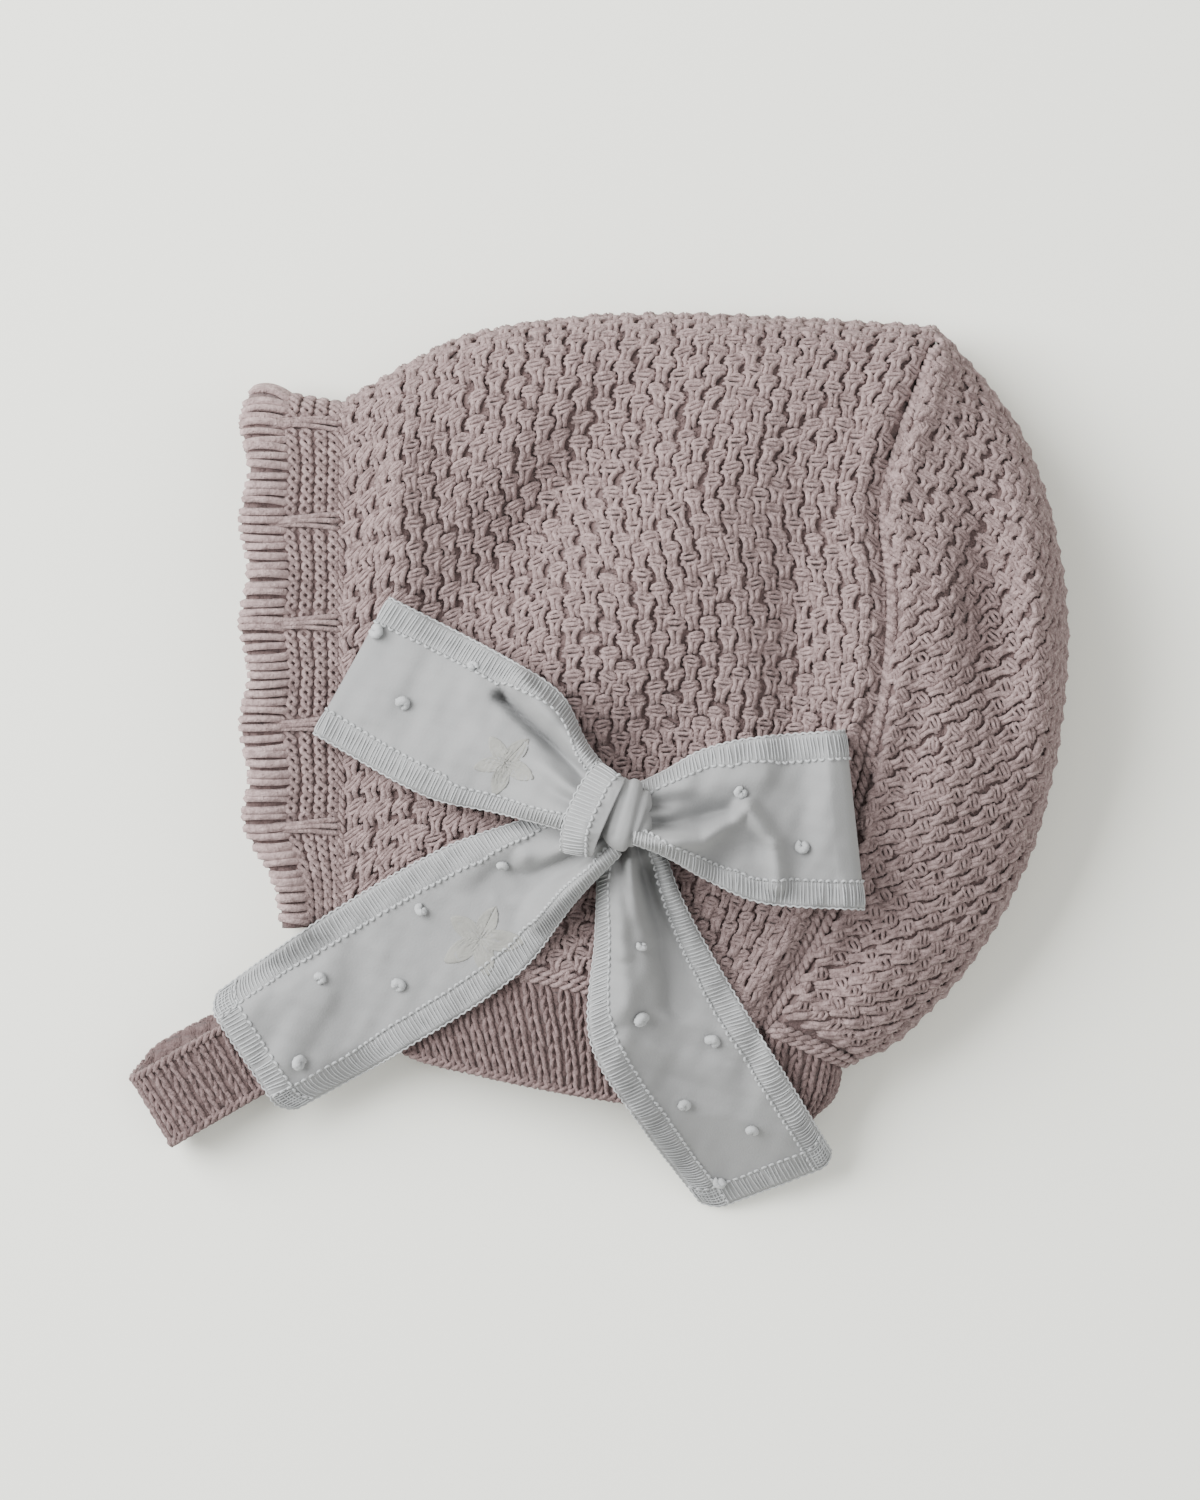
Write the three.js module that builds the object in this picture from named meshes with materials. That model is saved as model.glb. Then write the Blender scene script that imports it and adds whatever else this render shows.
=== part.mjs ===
// A knitted baby bonnet with a ribbon bow, lying on its right side as it was laid down.
// X runs from the face opening to the back of the head, Y from the neck to the crown, and Z up from
// the surface that it lies on. The origin is on that surface, under the middle of the side.
import * as THREE from "three";

// Sizes of the body, in millimetres
const bonnetDepth = 144; // gathered seam of the face trim to the fold at the back of the head
const bonnetHeight = 122; // front corner of the neck seam to the fold along the crown
const puffHeight = 34; // the upper side's height above the surface where it stands highest
const foldHeight = 9; // height of the crown and back folds above the surface
const foldRun = 34; // how far in from a fold the upper side has levelled out
const underRun = 12; // how far in from a fold the under side lies flat
const knitWall = 2.6; // thickness of the seed-stitch knit
const seamGap = 0.3; // space left between two sewn pieces
const seamRidge = 1.7; // how far the sewn edges stand up beside the back seam
const seamGroove = 1.5; // depth of the back seam between them

// Sizes of the face trim
const trimWidth = 18.8; // gathered seam to the turned hem
const trimWall = 2.3; // thickness of the trim
const hemBulge = 0.7; // how much the turned hem is thicker than the trim on each face
const tuckCount = 11; // tucks that draw the trim in, from one corner over the crown to the other
const fluteDepth = 1.5; // how far the trim stands out between two tucks, against at a tuck
const trimFlare = 1.6; // how far the hem stands out from the gathered seam
const tuckHeight = 1; // how far the cord of a tuck stands up
const scallopDepth = 0.9; // how far the hem reaches out at a tuck

// Sizes of the ribbed neck band and the chin strap
const neckBandWidth = 17; // neck seam to the lower edge
const ribWall = 2.1; // thickness of the rib knit between its ridges
const ribPitch = 3.3; // one ridge to the next
const ribHeight = 0.5; // height of a ridge
const neckGap = 0.9; // space along the neck seam, which the seam's curve takes up
const strapGap = 1; // space left between the strap and the neck band
const strapWidth = 15.6; // width of the chin strap at its fold
const strapReach = 51; // neck band's corner to the fold, as the strap lies doubled
const strapStand = 13; // height of the doubled strap at its fold

// Sizes of the bow
const ribbonWidth = 30;
const ribbonWall = 1; // thickness of the ribbon
const restGap = 0.4; // space left under what lies on the knit
const frontLoopLength = 60; // knot to the fold of the loop over the face trim
const backLoopLength = 48; // knot to the fold of the loop towards the back
const loopPuff = 5; // how far the upper layer of a loop stands off the lower one
const loopEdge = 3.2; // height of a loop at its fold, over the outside of the ribbon
const frontTailLength = 88; // knot to the end of the tail over the chin strap
const backTailLength = 80; // knot to the end of the tail over the neck band
const pleatDepth = 1.1; // height of the pleats where the ribbon is drawn into the knot
const knotLength = 14.5; // along the wrap, from the crown's side to the neck's side
const knotWidth = 9;
const knotHeight = 8;
const knotGap = 1.2; // space left where a ribbon enters the knot
const drapeSlope = 0.85; // steepest fall of a ribbon that hangs over an edge

// Where the front corner of the neck seam and the knot lie
const corner = new THREE.Vector2(-51, -35);
const knotAt = { depth: 0.379, height: 0.18 };

const up = new THREE.Vector3(0, 0, 1);
const { clamp, degToRad, lerp, smoothstep } = THREE.MathUtils;

// A point of the outline from its shares of the bonnet's depth and height.
function planPoint({ depth, height }) {
  return new THREE.Vector2(corner.x + depth * bonnetDepth, corner.y + height * bonnetHeight);
}

function outline(rows) {
  return new THREE.SplineCurve(rows.map(planPoint));
}

// The outline as it lies, as shares of the bonnet's depth and height from the front corner.
const crownCorner = { depth: 0.819, height: 0.975 };
const seamFoot = { depth: 0.574, height: -0.166 };
const napeFold = { depth: 0.688, height: -0.23 };

const crownFold = outline([
  { depth: 0, height: 0.854 },
  { depth: 0.076, height: 0.908 },
  { depth: 0.17, height: 0.962 },
  { depth: 0.299, height: 0.989 },
  { depth: 0.451, height: 0.997 },
  { depth: 0.632, height: 0.989 },
  crownCorner,
]);
const backFold = outline([
  napeFold,
  { depth: 0.771, height: -0.18 },
  { depth: 0.882, height: -0.033 },
  { depth: 0.958, height: 0.156 },
  { depth: 0.996, height: 0.4 },
  { depth: 0.986, height: 0.615 },
  { depth: 0.93, height: 0.81 },
  crownCorner,
]);
const backSeam = outline([
  seamFoot,
  { depth: 0.667, height: 0.033 },
  { depth: 0.7, height: 0.2 },
  { depth: 0.736, height: 0.38 },
  { depth: 0.746, height: 0.534 },
  { depth: 0.735, height: 0.68 },
  { depth: 0.772, height: 0.83 },
  crownCorner,
]);
const neckSeam = outline([
  { depth: 0, height: 0 },
  { depth: 0.229, height: -0.079 },
  { depth: 0.465, height: -0.139 },
  seamFoot,
]);
const frontSeam = new THREE.LineCurve(neckSeam.getPoint(0), crownFold.getPoint(0));

// How full the upper side is, as shares of puffHeight, from front to back and from neck to crown.
const fullnessByDepth = [
  { at: 0, share: 0.66 },
  { at: 0.2, share: 0.86 },
  { at: 0.45, share: 1 },
  { at: 0.75, share: 0.95 },
  { at: 1, share: 0.84 },
];
const fullnessByHeight = [
  { at: -0.4, share: 0.56 },
  { at: -0.1, share: 0.74 },
  { at: 0.2, share: 0.95 },
  { at: 0.5, share: 1 },
  { at: 0.8, share: 0.94 },
  { at: 1.05, share: 0.84 },
];

// Soft folds of the upper side: where, the way they run, and half-lengths and half-widths as
// shares of bonnetHeight, with the lift as a share of puffHeight, below 0 for a valley.
const softFolds = [
  { name: "shoulder by the trim", depth: 0.075, height: 0.72, turn: 88, length: 0.2, width: 0.05, lift: 0.08 },
  { name: "slanting valley", depth: 0.27, height: 0.66, turn: 52, length: 0.25, width: 0.085, lift: -0.13 },
  { name: "crest beside it", depth: 0.45, height: 0.6, turn: 56, length: 0.28, width: 0.1, lift: 0.05 },
  { name: "hollow before the seam", depth: 0.625, height: 0.44, turn: 88, length: 0.24, width: 0.06, lift: -0.085 },
  { name: "valley of the back", depth: 0.872, height: 0.5, turn: 96, length: 0.2, width: 0.045, lift: -0.11 },
  { name: "outer swell of the back", depth: 0.94, height: 0.4, turn: 94, length: 0.25, width: 0.045, lift: 0.05 },
  { name: "valley above the nape", depth: 0.66, height: -0.06, turn: 47, length: 0.15, width: 0.05, lift: -0.09 },
  { name: "swell above the nape", depth: 0.74, height: -0.06, turn: 40, length: 0.12, width: 0.05, lift: 0.06 },
  { name: "dip under the bow", depth: 0.36, height: 0.2, turn: 0, length: 0.16, width: 0.11, lift: -0.05 },
];

// A smooth curve through a table's rows, read at a share.
function smoothAt(rows, at) {
  const last = rows.length - 1;
  const x = clamp(at, rows[0].at, rows[last].at);
  const i = Math.min(rows.findIndex((row, k) => k === last || rows[k + 1].at >= x), last - 1);
  const slope = (k) => {
    const a = rows[Math.max(k - 1, 0)];
    const b = rows[Math.min(k + 1, last)];
    return (b.share - a.share) / (b.at - a.at);
  };
  const [from, to] = [rows[i], rows[i + 1]];
  const span = to.at - from.at;
  const f = (x - from.at) / span;
  const eased = f * f * (3 - 2 * f);
  const leave = f * (1 - f) * (1 - f) * span * slope(i);
  const arrive = f * f * (f - 1) * span * slope(i + 1);
  return lerp(from.share, to.share, eased) + leave + arrive;
}

// Distances in plan to a sampled outline, with the way in from it and the side that a point is on.
// hand is 1 where the body lies on the outline's left hand, and -1 where it lies on the right.
const nearOutline = 0.3;
function measureFrom(curve, hand) {
  const points = curve.getSpacedPoints(140);
  return (x, y) => {
    let nearest = { distance: Infinity };
    for (let i = 0; i < points.length - 1; i += 1) {
      const [a, b] = [points[i], points[i + 1]];
      const along = b.clone().sub(a);
      const from = new THREE.Vector2(x - a.x, y - a.y);
      const share = clamp(from.dot(along) / along.lengthSq(), 0, 1);
      const away = from.clone().addScaledVector(along, -share);
      const distance = away.length();
      if (distance < nearest.distance) {
        nearest = { distance, away, along, side: Math.sign(along.cross(from)) };
      }
    }
    const { distance, away, along, side } = nearest;
    const square = new THREE.Vector2(-along.y, along.x).multiplyScalar(hand);
    const way = (distance > nearOutline ? away : square).normalize();
    return { distance, way, side };
  };
}

const fromCrownFold = measureFrom(crownFold, -1);
const fromBackFold = measureFrom(backFold, 1);
const fromBackSeam = measureFrom(backSeam, 1);

// How far a point lies in from the folds, and the way in. Near the crown's corner the way in is a
// mean of both folds', so that the two panels meet there in a mitre.
const mitreReach = 3;
function inwardFrom(x, y) {
  const crown = fromCrownFold(x, y);
  const back = fromBackFold(x, y);
  const distance = Math.min(crown.distance, back.distance);
  const way = new THREE.Vector2();
  for (const fold of [crown, back]) {
    way.addScaledVector(fold.way, Math.exp((distance - fold.distance) / mitreReach));
  }
  return { distance, way: way.normalize() };
}

// The back seam's sunken line and the sewn edges that stand up beside it.
const ridgePlace = { band: 5, panel: 2.8 };
const ridgeSpread = 2.8;
const grooveSpread = 1.1;
function seamRelief(x, y) {
  const seam = fromBackSeam(x, y);
  const place = seam.side > 0 ? ridgePlace.band : ridgePlace.panel;
  const ridge = seamRidge * Math.exp(-(((seam.distance - place) / ridgeSpread) ** 2));
  const groove = seamGroove * Math.exp(-((seam.distance / grooveSpread) ** 2));
  return ridge - groove;
}

// The upper side's height before it curves down into the folds.
function fullHeight(x, y) {
  const depth = (x - corner.x) / bonnetDepth;
  const height = (y - corner.y) / bonnetHeight;
  let z = puffHeight * smoothAt(fullnessByDepth, depth) * smoothAt(fullnessByHeight, height);
  for (const fold of softFolds) {
    const middle = planPoint(fold);
    const turn = degToRad(fold.turn);
    const [dx, dy] = [x - middle.x, y - middle.y];
    const along = (dx * Math.cos(turn) + dy * Math.sin(turn)) / (fold.length * bonnetHeight);
    const across = (dy * Math.cos(turn) - dx * Math.sin(turn)) / (fold.width * bonnetHeight);
    z += fold.lift * puffHeight * Math.exp(-along * along - across * across);
  }
  return z + seamRelief(x, y);
}

// The rounding of the folds: 0 on the fold and 1 where the side has levelled out. slopeOut and
// slopeUp are the two parts of its normal.
const foldPower = 2.3;
function rounding(distance, run) {
  const left = 1 - clamp(distance / run, 0, 1);
  const risen = 1 - left ** foldPower;
  return {
    rise: risen ** (1 / foldPower),
    slopeOut: left ** (foldPower - 1),
    slopeUp: risen ** (1 - 1 / foldPower),
  };
}

// A point of the body's outside and its outward normal, on the upper or the under side.
const gradientStep = 1.5;
function bodySurface(x, y, upper) {
  const { distance, way } = inwardFrom(x, y);
  const outward = new THREE.Vector3(-way.x, -way.y, 0);
  if (!upper) {
    const round = rounding(distance, underRun);
    const point = new THREE.Vector3(x, y, foldHeight * (1 - round.rise));
    const normal = outward.multiplyScalar(foldHeight * round.slopeOut);
    return { point, normal: normal.addScaledVector(up, -underRun * round.slopeUp).normalize() };
  }
  const full = fullHeight(x, y);
  const round = rounding(distance, foldRun);
  const point = new THREE.Vector3(x, y, foldHeight + (full - foldHeight) * round.rise);
  const dx = fullHeight(x + gradientStep, y) - fullHeight(x - gradientStep, y);
  const dy = fullHeight(x, y + gradientStep) - fullHeight(x, y - gradientStep);
  const tilt = (round.rise * foldRun * round.slopeUp) / (2 * gradientStep);
  const normal = outward.multiplyScalar((full - foldHeight) * round.slopeOut);
  normal.add(new THREE.Vector3(-dx * tilt, -dy * tilt, foldRun * round.slopeUp));
  return { point, normal: normal.normalize() };
}

// Spaces samples evenly along a line of { point, normal } samples.
function evenly(samples, count) {
  const lengths = [0];
  for (let i = 1; i < samples.length; i += 1) {
    lengths.push(lengths[i - 1] + samples[i].point.distanceTo(samples[i - 1].point));
  }
  const total = lengths[lengths.length - 1];
  const shares = Array.isArray(count) ? count : Array.from({ length: count + 1 }, (_, k) => k / count);
  return shares.map((share) => {
    const wanted = share * total;
    const i = clamp(lengths.findIndex((l) => l >= wanted), 1, samples.length - 1);
    const f = (wanted - lengths[i - 1]) / (lengths[i] - lengths[i - 1]);
    const point = samples[i - 1].point.clone().lerp(samples[i].point, f);
    const normal = samples[i - 1].normal.clone().lerp(samples[i].normal, f).normalize();
    return { point, normal, total };
  });
}

// A line over the body: along planAt on the upper side to the fold, and back along it underneath.
const lineSteps = 60;
function overTheFold(planAt, count) {
  const samples = [];
  for (const upper of [true, false]) {
    for (let k = upper ? 0 : 1; k <= lineSteps; k += 1) {
      const left = upper ? 1 - k / lineSteps : k / lineSteps;
      const plan = planAt(1 - left * left);
      samples.push(bodySurface(plan.x, plan.y, upper));
    }
  }
  return evenly(samples, count);
}

// The crown band's columns in plan: share 0 at the face trim and 1 at the back seam, reach 0 at
// the neck and 1 on the crown fold. The neck's shares lean back, so that the columns stand upright.
const neckLean = 0.37;
function bandPlan(share, reach) {
  const neckShare = share * (1 + neckLean * (1 - share));
  const neck = neckSeam.getPointAt(neckShare);
  const crown = crownFold.getPointAt(share);
  const front = frontSeam.getPointAt(reach);
  const back = backSeam.getPointAt(reach);
  const [a, b] = [neckSeam.getPoint(0), neckSeam.getPoint(1)];
  const [c, d] = [crownFold.getPoint(0), crownFold.getPoint(1)];
  const blend = (axis) => {
    const ruled = lerp(neck[axis], crown[axis], reach) + lerp(front[axis], back[axis], share);
    return ruled - lerp(lerp(a[axis], b[axis], share), lerp(c[axis], d[axis], share), reach);
  };
  return new THREE.Vector2(blend("x"), blend("y"));
}

// The back panel's rows in plan: rise 0 at the neck and 1 at the crown, reach 0 on the seam and 1
// on the back fold. The last row lies along the top of the seam.
const topRowSeam = 0.965;
function panelPlan(rise, reach) {
  const seam = backSeam.getPointAt(rise * topRowSeam);
  const fold = backFold.getPointAt(rise);
  return seam.lerp(fold, reach);
}

// A closed wall between two grids of points, out[i][j] and within[i][j].
function wallBetween(out, within) {
  const rows = out.length;
  const columns = out[0].length;
  const positions = [];
  for (const grid of [out, within]) {
    for (const row of grid) {
      for (const point of row) {
        positions.push(point.x, point.y, point.z);
      }
    }
  }
  const at = (face, i, j) => (face * rows + i) * columns + j;
  const index = [];
  const quad = (a, b, c, d) => index.push(a, b, c, a, c, d);
  for (let i = 0; i < rows - 1; i += 1) {
    for (let j = 0; j < columns - 1; j += 1) {
      quad(at(0, i, j), at(0, i + 1, j), at(0, i + 1, j + 1), at(0, i, j + 1));
      quad(at(1, i, j), at(1, i, j + 1), at(1, i + 1, j + 1), at(1, i + 1, j));
    }
  }
  for (let i = 0; i < rows - 1; i += 1) {
    quad(at(0, i, 0), at(1, i, 0), at(1, i + 1, 0), at(0, i + 1, 0));
    quad(at(0, i, columns - 1), at(0, i + 1, columns - 1), at(1, i + 1, columns - 1), at(1, i, columns - 1));
  }
  for (let j = 0; j < columns - 1; j += 1) {
    quad(at(0, 0, j), at(0, 0, j + 1), at(1, 0, j + 1), at(1, 0, j));
    quad(at(0, rows - 1, j), at(1, rows - 1, j), at(1, rows - 1, j + 1), at(0, rows - 1, j + 1));
  }
  return facingOut(positions, index);
}

// A geometry from points and triangles, turned so that its faces point out.
function facingOut(positions, index) {
  const corners = (k) => new THREE.Vector3().fromArray(positions, 3 * index[k]);
  let volume = 0;
  for (let k = 0; k < index.length; k += 3) {
    volume += corners(k).dot(corners(k + 1).cross(corners(k + 2)));
  }
  if (volume < 0) {
    index.reverse();
  }
  const geometry = new THREE.BufferGeometry();
  geometry.setAttribute("position", new THREE.Float32BufferAttribute(positions, 3));
  geometry.setIndex(index);
  geometry.computeVertexNormals();
  return geometry;
}

function inside(samples, wall) {
  return samples.map((row) => row.map(({ point, normal }) => point.clone().addScaledVector(normal, -wall)));
}

function outside(samples) {
  return samples.map((row) => row.map(({ point }) => point));
}

// Draws the end of a row back from a neighbour by the seam gap.
function drawBack(from, towards) {
  const step = towards.point.clone().sub(from.point).setLength(seamGap);
  from.point.add(step);
}

// Knit and ribbon finishes
const pinkKnit = new THREE.MeshStandardMaterial({ color: 0xb9a3a1, roughness: 0.95, metalness: 0 });
const pinkRib = new THREE.MeshStandardMaterial({ color: 0xb29a98, roughness: 0.95, metalness: 0 });
const whiteCotton = new THREE.MeshStandardMaterial({ color: 0xdfe1e3, roughness: 0.85, metalness: 0 });

const bonnet = new THREE.Group();
bonnet.name = "bonnet";

function piece(name, geometry, material, parent = bonnet) {
  const mesh = new THREE.Mesh(geometry, material);
  mesh.name = name;
  parent.add(mesh);
  return mesh;
}

// The crown band: one strip of knit from the neck on one side, over the crown, to the other.
const bandColumns = 17;
const bandRows = 34;
function crownBand() {
  const samples = [];
  for (let i = 0; i <= bandColumns; i += 1) {
    const share = i / bandColumns;
    samples.push(overTheFold((reach) => bandPlan(share, reach), bandRows));
  }
  for (let k = 0; k <= bandRows; k += 1) {
    drawBack(samples[0][k], samples[1][k]);
    drawBack(samples[bandColumns][k], samples[bandColumns - 1][k]);
    samples[0][k].normal.setX(0).normalize(); // its edge stands square to the trim
  }
  for (const column of samples) {
    drawBack(column[0], column[1]);
    drawBack(column[bandRows], column[bandRows - 1]);
  }
  return wallBetween(outside(samples), inside(samples, knitWall));
}

// The back panel: knitted crosswise, from the seam on one side round the back to the other.
const panelRows = 16;
const panelColumns = 20;
function backPanel() {
  const samples = [];
  for (let i = 0; i <= panelRows; i += 1) {
    const rise = i / panelRows;
    samples.push(overTheFold((reach) => panelPlan(rise, reach), panelColumns));
  }
  for (let k = 0; k <= panelColumns; k += 1) {
    drawBack(samples[0][k], samples[1][k]);
    drawBack(samples[panelRows][k], samples[panelRows - 1][k]);
  }
  for (const row of samples) {
    drawBack(row[0], row[1]);
    drawBack(row[panelColumns], row[panelColumns - 1]);
  }
  return wallBetween(outside(samples), inside(samples, knitWall));
}

// The face trim: a knitted frill on the gathered seam, drawn in by tucks, with a turned hem.
const tuckPlaces = [0, 0.06, 0.14, 0.38, 0.62, 0.86, 0.94]; // samples between two tucks
const trimPlaces = [0, 0.22, 0.45, 0.62, 0.7, 0.86, 1]; // seam to hem
const hemStart = 0.62; // where the turned hem begins, as a share of the width
const tuckSpread = 0.075; // half-width of a tuck's cord, as a share of the space between tucks
function faceTrim() {
  const shares = [];
  for (let k = 0; k < tuckCount; k += 1) {
    shares.push(...tuckPlaces.map((place) => (k + place) / tuckCount));
  }
  shares.push(1);
  const seam = overTheFold((reach) => frontSeam.getPointAt(reach), shares);
  const out = [];
  const within = [];
  trimPlaces.forEach((place) => {
    const outRow = [];
    const inRow = [];
    seam.forEach(({ point, normal }, k) => {
      const phase = shares[k] * tuckCount;
      const swell = (1 - Math.cos(2 * Math.PI * phase)) / 2;
      const fromTuck = Math.min(phase % 1, 1 - (phase % 1));
      const flat = new THREE.Vector3(0, normal.y, normal.z).normalize();
      const onFloor = Math.max(0, -flat.z);
      const stand = place * (trimFlare + fluteDepth * (swell - onFloor) - trimFlare * onFloor);
      const cord = fromTuck < 2 * tuckSpread && place > 0 && place < hemStart ? tuckHeight : 0;
      const cordHere = cord * Math.exp(-((fromTuck / tuckSpread) ** 2)) * (1 - onFloor);
      const hem = hemBulge * Math.sin(Math.PI * clamp((place - hemStart) / (1 - hemStart), 0, 1));
      const reach = place * (trimWidth + scallopDepth * (1 - 2 * swell));
      const base = point.clone().add(new THREE.Vector3(-reach, 0, 0)).addScaledVector(flat, stand);
      const outer = base.clone().addScaledVector(flat, cordHere + hem * (1 - onFloor));
      outRow.push(outer);
      inRow.push(base.clone().addScaledVector(flat, -trimWall - hem));
    });
    out.push(outRow);
    within.push(inRow);
  });
  return wallBetween(out, within);
}

// The neck band's lower edge, as it lies, from the front corner to the fold at the nape. The
// shares are of bonnetDepth along the seam and of neckBandWidth below it.
const bandDrop = [
  { depth: 0.077, below: 1.16 },
  { depth: 0.12, below: 1.21 },
  { depth: 0.36, below: 0.99 },
  { depth: 0.53, below: 0.9 },
  { depth: 0.62, below: 0.84 },
  { depth: 0.65, below: 0.66 },
];
const rootZ = 0.42; // height of the front lower corner, as a share of puffHeight
const hemZ = 0.5; // height of the lower edge at the middle, as a share of puffHeight
const napeZ = 0.55; // height of the nape fold, as a share of foldHeight

const napeCurve = outline([
  { depth: 0, height: 0 },
  { depth: 0.229, height: -0.079 },
  { depth: 0.465, height: -0.139 },
  seamFoot,
  napeFold,
]);
const lowerEdge = new THREE.SplineCurve(
  bandDrop.map(({ depth, below }) => {
    const seamY = napeCurve.getPoint(clamp(depth / napeFold.depth, 0, 1)).y;
    return new THREE.Vector2(corner.x + depth * bonnetDepth, seamY - below * neckBandWidth);
  }),
);

// The lower edge in space: level over the throat, and rounded into the fold at the nape.
const napeRun = 22;
function lowerEdgePoint(reach, upper) {
  const plan = lowerEdge.getPointAt(reach);
  const left = plan.distanceTo(lowerEdge.getPoint(1));
  const low = napeZ * foldHeight;
  if (!upper) {
    return new THREE.Vector3(plan.x, plan.y, low * (1 - rounding(left, underRun / 2).rise));
  }
  const level = puffHeight * lerp(rootZ, hemZ, smoothstep(reach, 0, 0.4));
  return new THREE.Vector3(plan.x, plan.y, low + (level - low) * rounding(left, napeRun).rise);
}

// A rib's relief: 1 on its ridge and 0 in the furrow beside it.
function ribRelief(k) {
  return k % 2;
}

// The neck band: a strip of rib knit on the neck seam, from one front corner round the nape to
// the other.
const bandLevels = [0, 0.5, 1];
function neckBand() {
  const seam = overTheFold((reach) => napeCurve.getPointAt(reach), lineSteps * 4);
  const edgeSamples = [];
  for (const upper of [true, false]) {
    for (let k = upper ? 0 : 1; k <= lineSteps; k += 1) {
      const left = upper ? 1 - k / lineSteps : k / lineSteps;
      edgeSamples.push({ point: lowerEdgePoint(1 - left * left, upper), normal: up.clone() });
    }
  }
  const steps = 2 * Math.round(seam[0].total / ribPitch);
  const top = evenly(seam, steps);
  const low = evenly(edgeSamples, steps);
  top.forEach(({ point }, k) => {
    point.add(low[k].point.clone().sub(point).setLength(neckGap));
  });
  const out = [];
  const within = [];
  for (let k = 0; k <= steps; k += 1) {
    const across = low[k].point.clone().sub(top[k].point);
    const before = Math.max(k - 1, 0);
    const after = Math.min(k + 1, steps);
    const along = top[after].point.clone().add(low[after].point);
    along.sub(top[before].point).sub(low[before].point);
    const normal = along.cross(across).normalize();
    if (normal.dot(top[k].normal) < 0) {
      normal.negate();
    }
    const outRow = [];
    const inRow = [];
    for (const level of bandLevels) {
      const blended = top[k].normal.clone().lerp(normal, Math.min(1, 2 * level)).normalize();
      const base = top[k].point.clone().addScaledVector(across, level);
      const depth = ribHeight * (1 - ribRelief(k));
      outRow.push(base.clone().addScaledVector(blended, -depth));
      inRow.push(base.clone().addScaledVector(blended, -ribWall - depth));
    }
    out.push(outRow);
    within.push(inRow);
  }
  return wallBetween(out, within);
}

// The chin strap: rib knit from corner to corner, doubled on itself where it lies. Each row is a
// section of its outside: along from the corner to the fold as a share of strapReach, to either
// side as a share of strapWidth, and height as a share of strapStand.
const strapTurn = 210; // the way the strap lies from the corner
const strapSections = [
  { along: 0.13, topSide: -0.08, topZ: 1.36, lowSide: 0.02, lowZ: 1.08 },
  { along: 0.4, topSide: -0.02, topZ: 1.26, lowSide: 0, lowZ: 0.98 },
  { along: 0.7, topSide: 0, topZ: 1.12, lowSide: 0, lowZ: 0.88 },
  { along: 0.92, topSide: 0, topZ: 0.94, lowSide: 0, lowZ: 0.78 },
  { along: 1, topSide: 0.02, topZ: 0.56, lowSide: 0, lowZ: 0.4 },
  { along: 0.93, topSide: 0.12, topZ: 0.14, lowSide: 0.02, lowZ: 0.05 },
  { along: 0.82, topSide: 0.2, topZ: 0, lowSide: 0.06, lowZ: 0 },
  { along: 0.5, topSide: 0.14, topZ: 0, lowSide: 0.04, lowZ: 0 },
  { along: 0.13, topSide: -0.08, topZ: 0, lowSide: 0.02, lowZ: 0 },
];
const strapLevels = [0, 0.5, 1];
function chinStrap() {
  const root = lowerEdge.getPoint(0);
  const turn = degToRad(strapTurn);
  const way = new THREE.Vector2(Math.cos(turn), Math.sin(turn));
  const aside = new THREE.Vector2(way.y, -way.x); // towards the crown
  const cornerPoint = bodySurface(corner.x, corner.y, true).point;
  const rootPoint = lowerEdgePoint(0, true);
  const middle = root.clone().add(corner).multiplyScalar(0.5);
  const place = (row, share, side, z) => {
    const plan = middle.clone().addScaledVector(way, row.along * strapReach);
    plan.addScaledVector(aside, (share + side) * strapWidth);
    return new THREE.Vector3(plan.x, plan.y, z * strapStand);
  };
  const gap = new THREE.Vector3(way.x, way.y, 0).multiplyScalar(strapGap);
  const starts = [cornerPoint, rootPoint].map((point) => point.clone().add(gap));
  const ends = starts.map((point) => new THREE.Vector3(point.x, point.y, 0));
  const topEdge = strapSections.map((row) => place(row, 0.5, row.topSide, row.topZ));
  const lowEdge = strapSections.map((row) => place(row, -0.5, row.lowSide, row.lowZ));
  const curves = [topEdge, lowEdge].map(
    (edge, k) => new THREE.CatmullRomCurve3([starts[k], ...edge, ends[k]], false, "centripetal"),
  );
  const steps = 2 * Math.round((curves[0].getLength() + curves[1].getLength()) / 2 / ribPitch);
  const [tops, lows] = curves.map((curve) => curve.getSpacedPoints(steps));
  [...tops, ...lows].forEach((point) => point.setZ(Math.max(point.z, 0)));
  const out = [];
  const within = [];
  for (let k = 0; k <= steps; k += 1) {
    const before = Math.max(k - 1, 0);
    const after = Math.min(k + 1, steps);
    const along = tops[after].clone().add(lows[after]).sub(tops[before]).sub(lows[before]);
    const across = lows[k].clone().sub(tops[k]);
    const normal = along.cross(across).normalize();
    const depth = ribHeight * (1 - ribRelief(k));
    const outRow = [];
    const inRow = [];
    for (const level of strapLevels) {
      const base = tops[k].clone().addScaledVector(across, level);
      outRow.push(base.clone().addScaledVector(normal, -depth));
      inRow.push(base.clone().addScaledVector(normal, -ribWall - depth));
    }
    out.push(outRow);
    within.push(inRow);
  }
  return wallBetween(out, within);
}

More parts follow.
